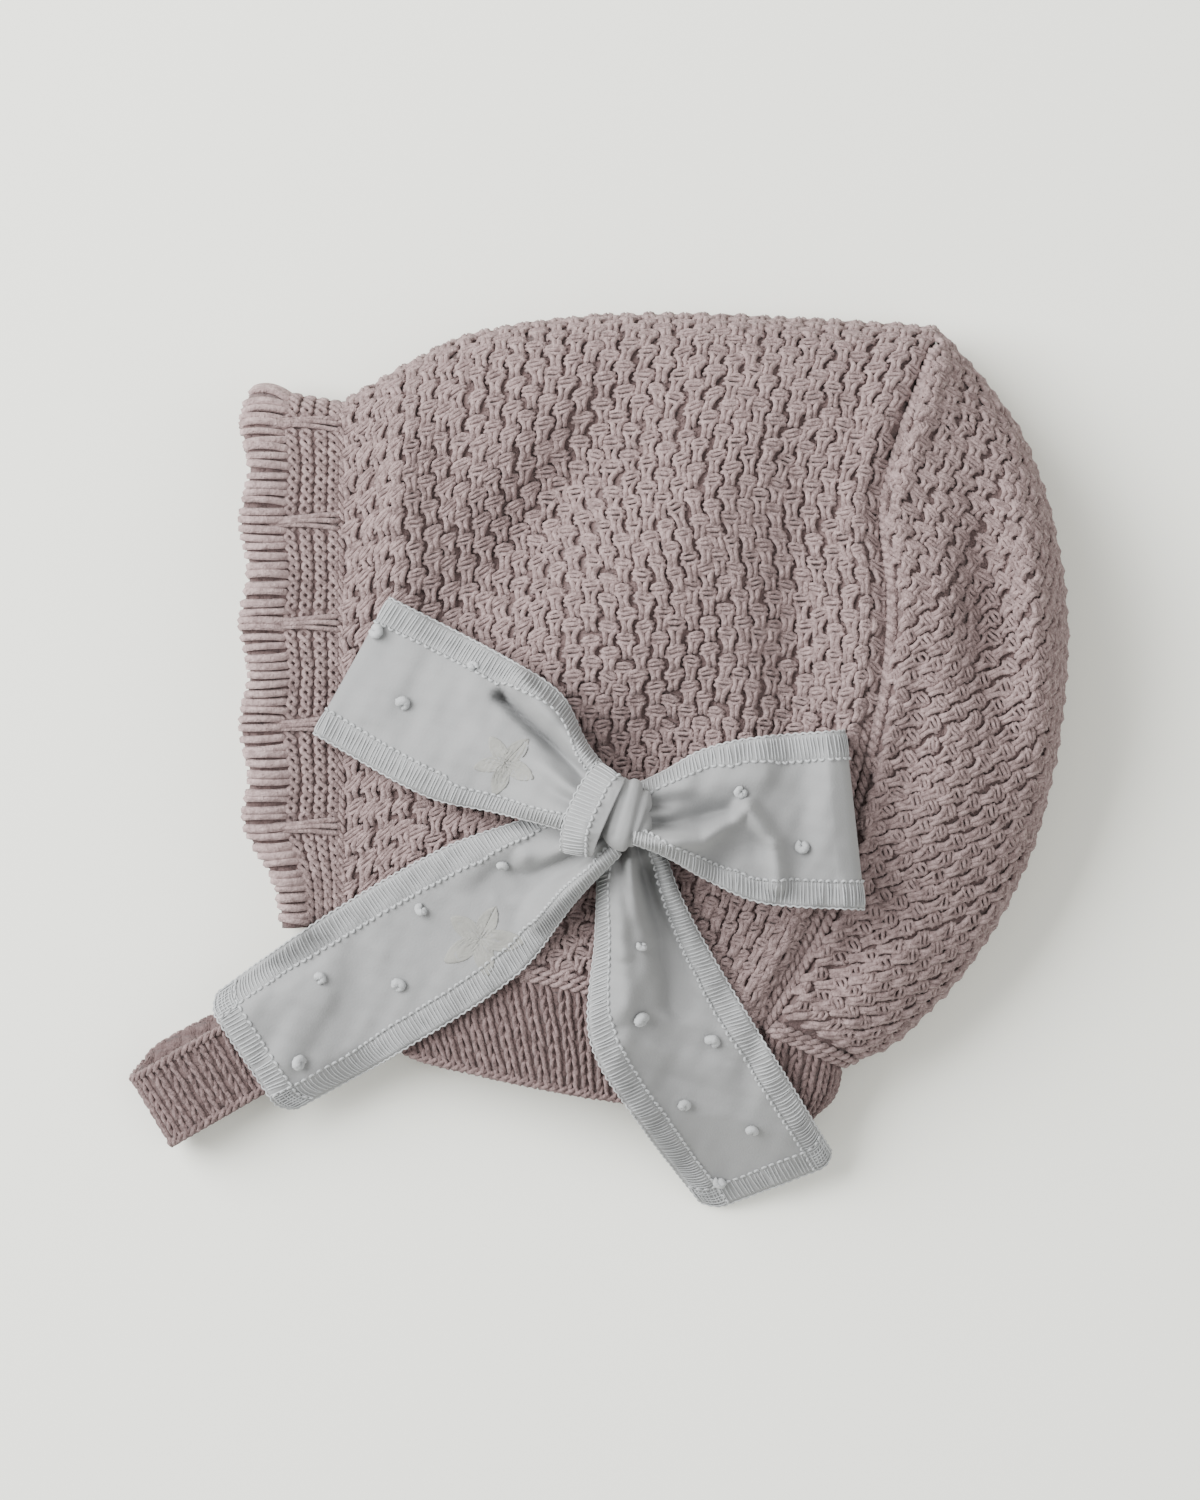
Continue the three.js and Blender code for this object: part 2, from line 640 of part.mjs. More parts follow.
// The top of what lies there already, on a grid over the plan. A ribbon rests on it.
class RestingHeights {
  constructor(cell, low, high) {
    this.cell = cell;
    this.low = low;
    this.columns = Math.ceil((high.x - low.x) / cell) + 1;
    this.rows = Math.ceil((high.y - low.y) / cell) + 1;
    this.heights = new Float64Array(this.columns * this.rows);
  }

  add(mesh) {
    mesh.updateWorldMatrix(true, false);
    const { index } = mesh.geometry;
    const position = mesh.geometry.attributes.position;
    const corners = [0, 1, 2].map(() => new THREE.Vector3());
    for (let k = 0; k < index.count; k += 3) {
      corners.forEach((point, n) => {
        point.fromBufferAttribute(position, index.getX(k + n)).applyMatrix4(mesh.matrixWorld);
      });
      this.#cover(corners);
    }
  }

  #cover([a, b, c]) {
    const area = (b.x - a.x) * (c.y - a.y) - (c.x - a.x) * (b.y - a.y);
    if (area <= 0) {
      return;
    }
    const column = (x) => (x - this.low.x) / this.cell;
    const row = (y) => (y - this.low.y) / this.cell;
    const lastColumn = Math.min(this.columns - 1, Math.ceil(column(Math.max(a.x, b.x, c.x))));
    const lastRow = Math.min(this.rows - 1, Math.ceil(row(Math.max(a.y, b.y, c.y))));
    const slack = -0.6 * this.cell * Math.sqrt(area);
    for (let i = Math.max(0, Math.floor(column(Math.min(a.x, b.x, c.x)))); i <= lastColumn; i += 1) {
      for (let j = Math.max(0, Math.floor(row(Math.min(a.y, b.y, c.y)))); j <= lastRow; j += 1) {
        const x = this.low.x + i * this.cell;
        const y = this.low.y + j * this.cell;
        const ofB = (x - a.x) * (c.y - a.y) - (c.x - a.x) * (y - a.y);
        const ofC = (b.x - a.x) * (y - a.y) - (x - a.x) * (b.y - a.y);
        const ofA = area - ofB - ofC;
        if (Math.min(ofA, ofB, ofC) >= slack) {
          const [p, q, r] = [ofA, ofB, ofC].map((part) => Math.max(part, 0));
          const z = (p * a.z + q * b.z + r * c.z) / (p + q + r);
          const at = j * this.columns + i;
          this.heights[at] = Math.max(this.heights[at], z);
        }
      }
    }
  }

  // Lets the top fall away from each high place no faster than the slope, as hanging cloth does.
  draped(slope) {
    const made = Float64Array.from(this.heights);
    const steps = [[1, 0], [0, 1], [1, 1], [-1, 1]];
    const pass = (forward) => {
      for (let n = 0; n < made.length; n += 1) {
        const at = forward ? n : made.length - 1 - n;
        const i = at % this.columns;
        const j = Math.floor(at / this.columns);
        for (const [di, dj] of steps) {
          const [oi, oj] = forward ? [i - di, j - dj] : [i + di, j + dj];
          if (oi >= 0 && oi < this.columns && oj >= 0 && oj < this.rows) {
            const fall = slope * this.cell * Math.hypot(di, dj);
            made[at] = Math.max(made[at], made[oj * this.columns + oi] - fall);
          }
        }
      }
    };
    pass(true);
    pass(false);
    return (x, y) => this.#read(made, x, y);
  }

  #read(heights, x, y) {
    const column = clamp((x - this.low.x) / this.cell, 0, this.columns - 1.001);
    const row = clamp((y - this.low.y) / this.cell, 0, this.rows - 1.001);
    const [i, j] = [Math.floor(column), Math.floor(row)];
    const at = j * this.columns + i;
    const near = lerp(heights[at], heights[at + 1], column - i);
    const far = lerp(heights[at + this.columns], heights[at + this.columns + 1], column - i);
    return lerp(near, far, row - j);
  }
}

// A ribbon's centre face from a grid of points, thickened to a wall.
function ribbonWallOf(grid) {
  const out = [];
  const within = [];
  grid.forEach((row, i) => {
    const outRow = [];
    const inRow = [];
    row.forEach((point, j) => {
      const along = grid[Math.min(i + 1, grid.length - 1)][j].clone();
      along.sub(grid[Math.max(i - 1, 0)][j]);
      const across = row[Math.min(j + 1, row.length - 1)].clone().sub(row[Math.max(j - 1, 0)]);
      const normal = along.cross(across).normalize();
      outRow.push(point.clone().addScaledVector(normal, ribbonWall / 2));
      inRow.push(point.clone().addScaledVector(normal, -ribbonWall / 2));
    });
    out.push(outRow);
    within.push(inRow);
  });
  return wallBetween(out, within);
}

const knotPlan = planPoint(knotAt);
const bow = new THREE.Group();
bow.name = "bow";
bow.position.set(knotPlan.x, knotPlan.y, 0);

// Where a ribbon leaves the knot, along a way given in degrees.
function knotEdge(turn) {
  const [c, s] = [Math.cos(degToRad(turn)), Math.sin(degToRad(turn))];
  return 1 / Math.hypot(c / (knotWidth / 2), s / (knotLength / 2)) + knotGap;
}

// Half-widths to either side along a ribbon, as shares of ribbonWidth; at is the share of its
// length. left is the side on the left hand, looking from the knot.
const frontLoop = {
  turn: 150.5,
  length: frontLoopLength,
  sides: [
    { at: 0, left: 0.2, right: 0.2 },
    { at: 0.15, left: 0.27, right: 0.3 },
    { at: 0.32, left: 0.36, right: 0.5 },
    { at: 0.55, left: 0.49, right: 0.53 },
    { at: 1, left: 0.5, right: 0.5 },
  ],
};
const backLoop = {
  turn: -0.7,
  length: backLoopLength,
  sides: [
    { at: 0, left: 0.2, right: 0.16 },
    { at: 0.15, left: 0.3, right: 0.25 },
    { at: 0.32, left: 0.43, right: 0.39 },
    { at: 0.55, left: 0.51, right: 0.53 },
    { at: 1, left: 0.57, right: 0.57 },
  ],
};
const frontTail = {
  turn: 213.3,
  length: frontTailLength,
  sides: [
    { at: 0, left: 0.2, right: 0.2 },
    { at: 0.15, left: 0.3, right: 0.32 },
    { at: 0.35, left: 0.49, right: 0.45 },
    { at: 0.7, left: 0.5, right: 0.5 },
    { at: 1, left: 0.44, right: 0.47 },
  ],
};
const backTail = {
  turn: -68.3,
  length: backTailLength,
  sides: [
    { at: 0, left: 0.2, right: 0.2 },
    { at: 0.2, left: 0.18, right: 0.42 },
    { at: 0.45, left: 0.26, right: 0.7 },
    { at: 0.72, left: 0.38, right: 0.6 },
    { at: 1, left: 0.5, right: 0.42 },
  ],
};

// A place on a ribbon in plan, from the knot: along it and across from -1, left, to 1, right.
function ribbonPlan(ribbon, along, across) {
  const sideShare = (side) => {
    const rows = ribbon.sides.map((row) => ({ at: row.at, share: row[side] }));
    return smoothAt(rows, along);
  };
  const start = knotEdge(ribbon.turn);
  const reach = start + along * (ribbon.length - start);
  const aside = lerp(-sideShare("left"), sideShare("right"), (across + 1) / 2) * ribbonWidth;
  const [c, s] = [Math.cos(degToRad(ribbon.turn)), Math.sin(degToRad(ribbon.turn))];
  return new THREE.Vector2(reach * c + aside * s, reach * s - aside * c);
}

// Pleats that run out of the knot and die away along the ribbon.
const pleatEnd = 0.5;
function pleat(along, across) {
  return pleatDepth * (1 - smoothstep(along, 0, pleatEnd)) * Math.cos(3 * Math.PI * across);
}

// Lifts a ribbon's points until the whole of its under side is clear of what it lies on.
const settlePasses = 3;
const settleSteps = 4;
const steepAllowance = 1.35; // a slanting wall measures more from top to bottom
function settled(grid, restingAt) {
  const under = restGap + (steepAllowance * ribbonWall) / 2;
  const shortAt = (corners, u, v) => {
    const near = corners[0].clone().lerp(corners[1], u);
    const point = near.lerp(corners[2].clone().lerp(corners[3], u), v);
    return restingAt(point.x + knotPlan.x, point.y + knotPlan.y) + under - point.z;
  };
  for (let pass = 0; pass < settlePasses; pass += 1) {
    for (let i = 0; i < grid.length - 1; i += 1) {
      for (let j = 0; j < grid[i].length - 1; j += 1) {
        const corners = [grid[i][j], grid[i + 1][j], grid[i][j + 1], grid[i + 1][j + 1]];
        let short = 0;
        for (let n = 0; n < (settleSteps + 1) ** 2; n += 1) {
          const u = (n % (settleSteps + 1)) / settleSteps;
          const v = Math.floor(n / (settleSteps + 1)) / settleSteps;
          short = Math.max(short, shortAt(corners, u, v));
        }
        corners.forEach((point) => point.setZ(point.z + short));
      }
    }
  }
  return grid;
}

const ribbonColumns = 8;
function ribbonRow(place) {
  return Array.from({ length: ribbonColumns + 1 }, (_, k) => place((2 * k) / ribbonColumns - 1));
}

// A tail of the bow: one layer of ribbon that lies over what is under it and hangs over the edge.
const tailRows = 18;
const tailStart = 2.2; // how far the ribbon leaves the knot above the knit
function bowTail(tail, restingAt) {
  const rows = [];
  for (let i = 0; i <= tailRows; i += 1) {
    const along = i / tailRows;
    rows.push(ribbonRow((across) => {
      const plan = ribbonPlan(tail, along, across);
      const rest = restingAt(plan.x + knotPlan.x, plan.y + knotPlan.y) + restGap + ribbonWall / 2;
      const lift = tailStart * (1 - smoothstep(along, 0, 0.3)) + pleatDepth * (1 - smoothstep(along, 0, pleatEnd));
      return new THREE.Vector3(plan.x, plan.y, rest + lift + pleat(along, across));
    }));
  }
  return ribbonWallOf(settled(rows, restingAt));
}

// A loop of the bow: the ribbon runs out over the knit, turns back at its fold and returns above.
const loopRows = 9;
const foldSteps = 5;
const archStart = 0.12; // where the upper layer's arch begins, so that it stands open at the knot
const archLean = 0.3; // how much lower the arch is towards the fold
const flankFall = 0.45; // how much lower the arch is at the ribbon's edges
function bowLoop(loop, restingAt) {
  const edge = (loopEdge - ribbonWall) / 2;
  const foldShare = edge / loop.length;
  const lowAt = (along, across) => {
    const plan = ribbonPlan(loop, along, across);
    const rest = restingAt(plan.x + knotPlan.x, plan.y + knotPlan.y) + restGap + ribbonWall / 2;
    const lift = 2 * pleatDepth * (1 - smoothstep(along, 0, pleatEnd));
    return new THREE.Vector3(plan.x, plan.y, rest + lift + pleat(along, across));
  };
  const lower = [];
  for (let i = 0; i <= loopRows; i += 1) {
    const along = (i / loopRows) * (1 - foldShare);
    lower.push(ribbonRow((across) => lowAt(along, across)));
  }
  settled(lower, restingAt);
  const bend = [];
  for (let k = 1; k < foldSteps; k += 1) {
    const turn = -Math.PI / 2 + (k / foldSteps) * Math.PI;
    bend.push(ribbonRow((across) => {
      const column = Math.round(((across + 1) * ribbonColumns) / 2);
      const plan = ribbonPlan(loop, 1 - foldShare + Math.cos(turn) * foldShare, across);
      const level = lower[loopRows][column].z;
      return new THREE.Vector3(plan.x, plan.y, level + edge * (1 + Math.sin(turn)));
    }));
  }
  const upper = lower.map((row, i) => {
    const along = (i / loopRows) * (1 - foldShare);
    const arch = loopPuff * Math.sin(Math.PI * lerp(archStart, 1, along)) * (1 - archLean * along);
    return row.map((point, column) => {
      const across = (2 * column) / ribbonColumns - 1;
      const flank = 1 - flankFall * Math.abs(across) ** 3;
      return point.clone().setZ(point.z + 2 * edge + arch * flank);
    });
  });
  return ribbonWallOf([...lower, ...bend, ...upper.reverse()]);
}

// The knot: the ribbon's wrap, a lump drawn in at its waist.
const knotSides = 14;
const knotRings = 10;
function knotGeometry() {
  const geometry = new THREE.SphereGeometry(1, knotSides, knotRings);
  const position = geometry.attributes.position;
  for (let k = 0; k < position.count; k += 1) {
    const [x, y, z] = [position.getX(k), position.getY(k), position.getZ(k)];
    const waist = 1 - 0.14 * Math.cos(Math.PI * clamp(y, -1, 1));
    position.setXYZ(k, (x * waist * knotWidth) / 2, (y * knotLength) / 2, (z * waist * knotHeight) / 2);
  }
  geometry.computeVertexNormals();
  return geometry;
}

const knit = [
  piece("crown_band", crownBand(), pinkKnit),
  piece("back_panel", backPanel(), pinkKnit),
  piece("face_trim", faceTrim(), pinkKnit),
  piece("neck_band", neckBand(), pinkRib),
  piece("chin_strap", chinStrap(), pinkRib),
];

const heightCell = 0.5;
const planMargin = 40;
const resting = new RestingHeights(
  heightCell,
  new THREE.Vector2(corner.x - strapReach - planMargin, corner.y - backTailLength),
  new THREE.Vector2(corner.x + bonnetDepth + planMargin, corner.y + bonnetHeight + planMargin),
);
knit.forEach((mesh) => resting.add(mesh));
bonnet.add(bow);
const knotBase = resting.draped(drapeSlope)(knotPlan.x, knotPlan.y);
for (const [name, make, ribbon] of [
  ["bow_tail_back", bowTail, backTail],
  ["bow_tail_front", bowTail, frontTail],
  ["bow_loop_back", bowLoop, backLoop],
  ["bow_loop_front", bowLoop, frontLoop],
]) {
  const mesh = piece(name, make(ribbon, resting.draped(drapeSlope)), whiteCotton, bow);
  resting.add(mesh);
}
const knot = piece("bow_knot", knotGeometry(), whiteCotton, bow);
knot.position.z = knotBase + restGap + knotHeight / 2;

export default bonnet;
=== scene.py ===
import math

import bpy
import numpy as np
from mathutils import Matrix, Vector


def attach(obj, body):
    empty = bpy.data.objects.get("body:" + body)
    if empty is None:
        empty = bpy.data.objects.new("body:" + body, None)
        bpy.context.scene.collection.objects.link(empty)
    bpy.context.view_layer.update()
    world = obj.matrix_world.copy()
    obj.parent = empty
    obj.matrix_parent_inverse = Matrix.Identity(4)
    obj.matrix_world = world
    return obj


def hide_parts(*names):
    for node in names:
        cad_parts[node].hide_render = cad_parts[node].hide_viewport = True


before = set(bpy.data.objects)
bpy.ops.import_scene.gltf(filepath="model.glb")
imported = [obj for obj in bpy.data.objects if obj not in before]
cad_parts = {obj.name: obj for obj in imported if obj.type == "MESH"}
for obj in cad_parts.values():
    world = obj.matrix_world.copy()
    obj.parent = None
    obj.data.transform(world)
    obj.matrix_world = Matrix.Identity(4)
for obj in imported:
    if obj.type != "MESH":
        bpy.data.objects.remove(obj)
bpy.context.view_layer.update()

# The crown band
# A long strip of cotton in seed stitch, knitted from the neck on one side over the crown to the
# neck on the other. It lies on its side, so the strip is folded over along the crown.

MM = 0.001  # the sizes below are in millimetres

bonnet_depth = 144
bonnet_height = 122
puff_height = 34
fold_height = 9
fold_run = 21
fold_power = 2.7  # how squarely the upper side rounds down into a fold
under_run = 12
yarn_room = 0.9  # how far the yarn stands out under the under side
seam_ridge = 1.7
ridge_spread = 2.8
seam_groove = 1.3
groove_spread = 1.5
front_corner = np.array([-51.0, -35.0])

crown_corner = (0.819, 0.975)
seam_foot = (0.574, -0.166)
nape_fold = (0.688, -0.23)


def on_plan(depth, height):
    return front_corner + np.array([depth * bonnet_depth, height * bonnet_height])


def smooth_line(rows, count=1400):
    """A smooth line through the rows' points, as closely spaced points."""
    points = np.array(rows, float)
    last = len(points) - 1
    u = np.linspace(0, last, count)
    i = np.minimum(u.astype(int), last - 1)
    f = (u - i)[:, None]
    a, b = points[i], points[i + 1]
    leave = (b - points[np.maximum(i - 1, 0)]) / 2
    arrive = (points[np.minimum(i + 2, last)] - a) / 2
    cubic = (2 * a - 2 * b + leave + arrive) * f**3
    square = (-3 * a + 3 * b - 2 * leave - arrive) * f**2
    return cubic + square + leave * f + a


def run_along(line):
    """How far along a line each of its points is."""
    return np.concatenate([[0], np.cumsum(np.linalg.norm(np.diff(line, axis=0), axis=1))])


def read_line(line, run, at):
    """Reads a line between its points, which lie at run along it."""
    return np.stack([np.interp(at, run, axis) for axis in line.T], -1)


class Outline:
    """A line that is read at shares of its length."""

    def __init__(self, line):
        self.line = line
        self.length = np.linalg.norm(np.diff(line, axis=0), axis=1).sum()
        self.shares = run_along(line) / self.length

    def at(self, share):
        return read_line(self.line, self.shares, share)


def outline(*rows):
    return Outline(smooth_line([on_plan(*row) for row in rows]))


crown_fold = outline(
    (0, 0.854), (0.076, 0.908), (0.17, 0.962), (0.299, 0.989), (0.451, 0.997), (0.632, 0.989),
    crown_corner,
)
back_fold = outline(
    nape_fold, (0.771, -0.18), (0.882, -0.033), (0.958, 0.156), (0.996, 0.4), (0.986, 0.615),
    (0.93, 0.81), crown_corner,
)
back_seam = outline(
    seam_foot, (0.667, 0.033), (0.7, 0.2), (0.736, 0.38), (0.746, 0.534), (0.735, 0.68),
    (0.772, 0.83), crown_corner,
)
neck_rows = [(0, 0), (0.229, -0.079), (0.465, -0.139), seam_foot]
neck_seam = outline(*neck_rows)
nape_line = outline(*neck_rows, nape_fold)
front_seam = Outline(np.array([neck_seam.at(0), crown_fold.at(0)]))

# How full the upper side is: place as a share, then fullness as a share of puff_height
fullness_by_depth = [(0, 0.66), (0.2, 0.86), (0.45, 1), (0.75, 0.97), (1, 0.95)]
fullness_by_height = [(-0.4, 0.56), (-0.1, 0.74), (0.2, 0.95), (0.5, 1), (0.8, 0.94), (1.05, 0.84)]

# Soft folds: depth, height, turn in degrees, half-length, half-width, lift
soft_folds = [
    (0.075, 0.72, 88, 0.2, 0.05, 0.13),
    (0.27, 0.66, 52, 0.25, 0.075, -0.23),
    (0.45, 0.6, 56, 0.28, 0.09, 0.08),
    (0.615, 0.44, 88, 0.24, 0.055, -0.14),
    (0.81, 0.5, 92, 0.25, 0.04, 0.07),
    (0.886, 0.5, 96, 0.18, 0.042, -0.17),
    (0.949, 0.5, 94, 0.24, 0.04, 0.13),
    (0.66, -0.06, 47, 0.15, 0.05, -0.11),
    (0.74, -0.06, 40, 0.12, 0.05, 0.08),
    (0.43, 0.31, 20, 0.12, 0.07, -0.14),
    (0.8, 0.2, 60, 0.16, 0.05, 0.06),
    (0.86, 0.06, 50, 0.14, 0.05, -0.05),
]


def smooth_at(rows, at):
    """Reads a table of (place, share) rows as a smooth curve."""
    x, y = np.array(rows, float).T
    k = np.arange(len(x))
    after, before = np.minimum(k + 1, len(x) - 1), np.maximum(k - 1, 0)
    slope = (y[after] - y[before]) / (x[after] - x[before])
    at = np.clip(at, x[0], x[-1])
    i = np.clip(np.searchsorted(x, at) - 1, 0, len(x) - 2)
    span = x[i + 1] - x[i]
    f = (at - x[i]) / span
    eased = y[i] + (y[i + 1] - y[i]) * f * f * (3 - 2 * f)
    return eased + f * (1 - f) ** 2 * span * slope[i] + f * f * (f - 1) * span * slope[i + 1]


def distance_to(line, plan):
    """Distances in plan to an outline, and the side that each place lies on."""
    points = line.at(np.linspace(0, 1, 141))
    start, along = points[:-1], np.diff(points, axis=0)
    flat = plan.reshape(-1, 2)
    away_from = flat[:, None] - start[None]
    share = np.clip((away_from * along).sum(-1) / (along**2).sum(-1), 0, 1)
    away = away_from - share[..., None] * along
    squares = (away**2).sum(-1)
    nearest = squares.argmin(1)
    row = np.arange(len(flat))
    beside = away_from[row, nearest]
    cross = along[nearest, 0] * beside[:, 1] - along[nearest, 1] * beside[:, 0]
    distance = np.sqrt(squares[row, nearest])
    return distance.reshape(plan.shape[:-1]), np.sign(cross).reshape(plan.shape[:-1])


def bell(x):
    return np.exp(-(x**2))


def way_of(turn):
    """The way that a turn in degrees points, in plan."""
    return np.array([math.cos(math.radians(turn)), math.sin(math.radians(turn))])


def full_height(plan):
    """The upper side's height, before it rounds down into the folds."""
    depth = (plan[..., 0] - front_corner[0]) / bonnet_depth
    height = (plan[..., 1] - front_corner[1]) / bonnet_height
    z = puff_height * smooth_at(fullness_by_depth, depth) * smooth_at(fullness_by_height, height)
    for fold_depth, fold_up, turn, length, width, lift in soft_folds:
        away = plan - on_plan(fold_depth, fold_up)
        c, s = way_of(turn)
        along = (away[..., 0] * c + away[..., 1] * s) / (length * bonnet_height)
        across = (away[..., 1] * c - away[..., 0] * s) / (width * bonnet_height)
        z = z + lift * puff_height * bell(along) * bell(across)
    distance, side = distance_to(back_seam, plan)
    ridge_place = np.where(side > 0, 5, 3)
    ridge_height = np.where(side > 0, 0.8, 1.5) * seam_ridge
    ridge = ridge_height * bell((distance - ridge_place) / ridge_spread)
    return z + ridge - seam_groove * bell(distance / groove_spread)


def rounding(distance, run, power):
    """How far a height has risen from an edge, as a share: steep there, and level after run."""
    return (1 - (1 - np.clip(distance / run, 0, 1)) ** power) ** (1 / power)


def body_point(plan, upper):
    """A point of the body's outside over a place in plan, on the upper or the under side."""
    distance = np.minimum(distance_to(crown_fold, plan)[0], distance_to(back_fold, plan)[0])
    rise = rounding(distance, fold_run if upper else under_run, fold_power)
    if upper:
        z = fold_height + (full_height(plan) - fold_height) * rise
    else:
        z = yarn_room + (fold_height - yarn_room) * (1 - rise)
    return np.concatenate([plan, z[..., None]], -1)


def over_the_fold(plan_at, steps=80):
    """Lines over the body: up to the fold on the upper side, and back along it underneath."""
    left = 1 - np.arange(steps + 1) / steps
    upper = body_point(plan_at(1 - left**2), True)
    under = body_point(plan_at(1 - left[:-1] ** 2), False)[:, ::-1]
    return np.concatenate([upper, under], 1), steps


def unit(vectors):
    return vectors / np.maximum(np.linalg.norm(vectors, axis=-1, keepdims=True), 1e-9)


def normals_of(points):
    return unit(np.cross(np.gradient(points, axis=0), np.gradient(points, axis=1)))


def read_grid(grid, share, place):
    """Reads a grid of points between its rows and columns, at shares of them."""
    i = np.clip(share, 0, 1) * (grid.shape[0] - 1)
    j = np.clip(place, 0, 1) * (grid.shape[1] - 1)
    i0 = np.minimum(i.astype(int), grid.shape[0] - 2)
    j0 = np.minimum(j.astype(int), grid.shape[1] - 2)
    u, v = (i - i0)[..., None], (j - j0)[..., None]
    near = grid[i0, j0] * (1 - u) + grid[i0 + 1, j0] * u
    far = grid[i0, j0 + 1] * (1 - u) + grid[i0 + 1, j0 + 1] * u
    return near * (1 - v) + far * v


class Cloth:
    """A cloth over the body, read at a share across it and a run along it from its fold."""

    def __init__(self, lines, fold, samples=300):
        lengths = np.linalg.norm(np.diff(lines, axis=1), axis=2)
        runs = np.concatenate([np.zeros((len(lines), 1)), np.cumsum(lengths, 1)], 1)
        self.near = runs[:, fold]
        self.total = runs[:, -1]
        normals = normals_of(lines)
        normals = normals * np.sign(normals[len(lines) // 2, fold // 2, 2])
        rows = []
        for line, run in zip(np.concatenate([lines, normals], 2), runs):
            rows.append(read_line(line, run, np.linspace(0, run[-1], samples)))
        self.points, self.normals = np.split(np.array(rows), 2, axis=2)

    def ends(self, share):
        at = np.clip(share, 0, 1) * (len(self.near) - 1)
        k = np.arange(len(self.near))
        return np.interp(at, k, self.near), np.interp(at, k, self.total)

    def place(self, share, run):
        near, total = self.ends(share)
        at = (near + run) / total
        return read_grid(self.points, share, at), unit(read_grid(self.normals, share, at))


neck_lean = 0.37  # how the columns lean towards the back at the neck
band_shares = np.linspace(0, 1, 150)


def band_plan(reach):
    """Columns of the crown band in plan, laid between its four edges."""
    share = band_shares[:, None]
    reach = reach[None]
    neck = neck_seam.at(share * (1 + neck_lean * (1 - share)))
    crown = crown_fold.at(share)
    front, back = front_seam.at(reach), back_seam.at(reach)
    share, reach = share[..., None], reach[..., None]
    ruled = neck * (1 - reach) + crown * reach + front * (1 - share) + back * share
    a, b, c, d = neck_seam.at(0), neck_seam.at(1), crown_fold.at(0), crown_fold.at(1)
    low, high = a * (1 - share) + b * share, c * (1 - share) + d * share
    return ruled - low * (1 - reach) - high * reach


band = Cloth(*over_the_fold(band_plan))


def make_piece(name, parts, material, nodes):
    """Joins parts of (points, faces) in millimetres into one piece of the model."""
    points, faces, start = [], [], 0
    for part_points, part_faces in parts:
        points.append(part_points.reshape(-1, 3))
        for block in part_faces:
            faces.extend((block + start).tolist())
        start += len(points[-1])
    mesh = bpy.data.meshes.new(name)
    mesh.from_pydata(np.concatenate(points) * MM, [], faces)
    mesh.shade_smooth()
    mesh.materials.append(material)
    piece = bpy.data.objects.new(name, mesh)
    bpy.context.scene.collection.objects.link(piece)
    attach(piece, "root")
    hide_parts(*nodes)
    return piece


def yarn(lines, ups, radius, sides=5):
    """Round yarn along lines[n, m], which lie on a surface that faces ups[n, m]."""
    count, steps = lines.shape[:2]
    along = unit(np.gradient(lines, axis=1))
    side = unit(np.cross(along, ups))
    rise = np.cross(side, along)
    turn = 2 * np.pi * np.arange(sides) / sides
    ring = np.cos(turn)[:, None] * side[:, :, None] + np.sin(turn)[:, None] * rise[:, :, None]
    radius = np.broadcast_to(radius, (count, steps))
    points = lines[:, :, None] + radius[..., None, None] * ring
    index = np.arange(count * steps * sides).reshape(count, steps, sides)
    turned = np.roll(index, -1, 2)
    quads = np.stack([index[:, :-1], index[:, 1:], turned[:, 1:], turned[:, :-1]], -1)
    ends = [index[:, 0], index[:, -1, ::-1]]
    return points, [quads.reshape(-1, 4), *ends]


def wall(outer, inner):
    """A closed wall between two grids of points."""
    rows, columns = outer.shape[:2]
    i, j = rows // 2, columns // 2
    facing = np.cross(outer[i + 1, j] - outer[i, j], outer[i, j + 1] - outer[i, j])
    if facing @ (outer[i, j] - inner[i, j]) < 0:
        outer, inner = outer[::-1], inner[::-1]
    points = np.concatenate([outer.reshape(-1, 3), inner.reshape(-1, 3)])
    front = np.arange(rows * columns).reshape(rows, columns)
    back = front + rows * columns
    quads = []
    for grid, turn in ((front, 1), (back, -1)):
        quad = np.stack([grid[:-1, :-1], grid[1:, :-1], grid[1:, 1:], grid[:-1, 1:]], -1)
        quads.append(quad.reshape(-1, 4)[:, ::turn])
    rim = np.concatenate([front[0], front[1:, -1], front[-1, -2::-1], front[-2:0:-1, 0]])
    after = np.roll(rim, -1)
    quads.append(np.stack([rim, after, after + rows * columns, rim + rows * columns], -1))
    return points, quads


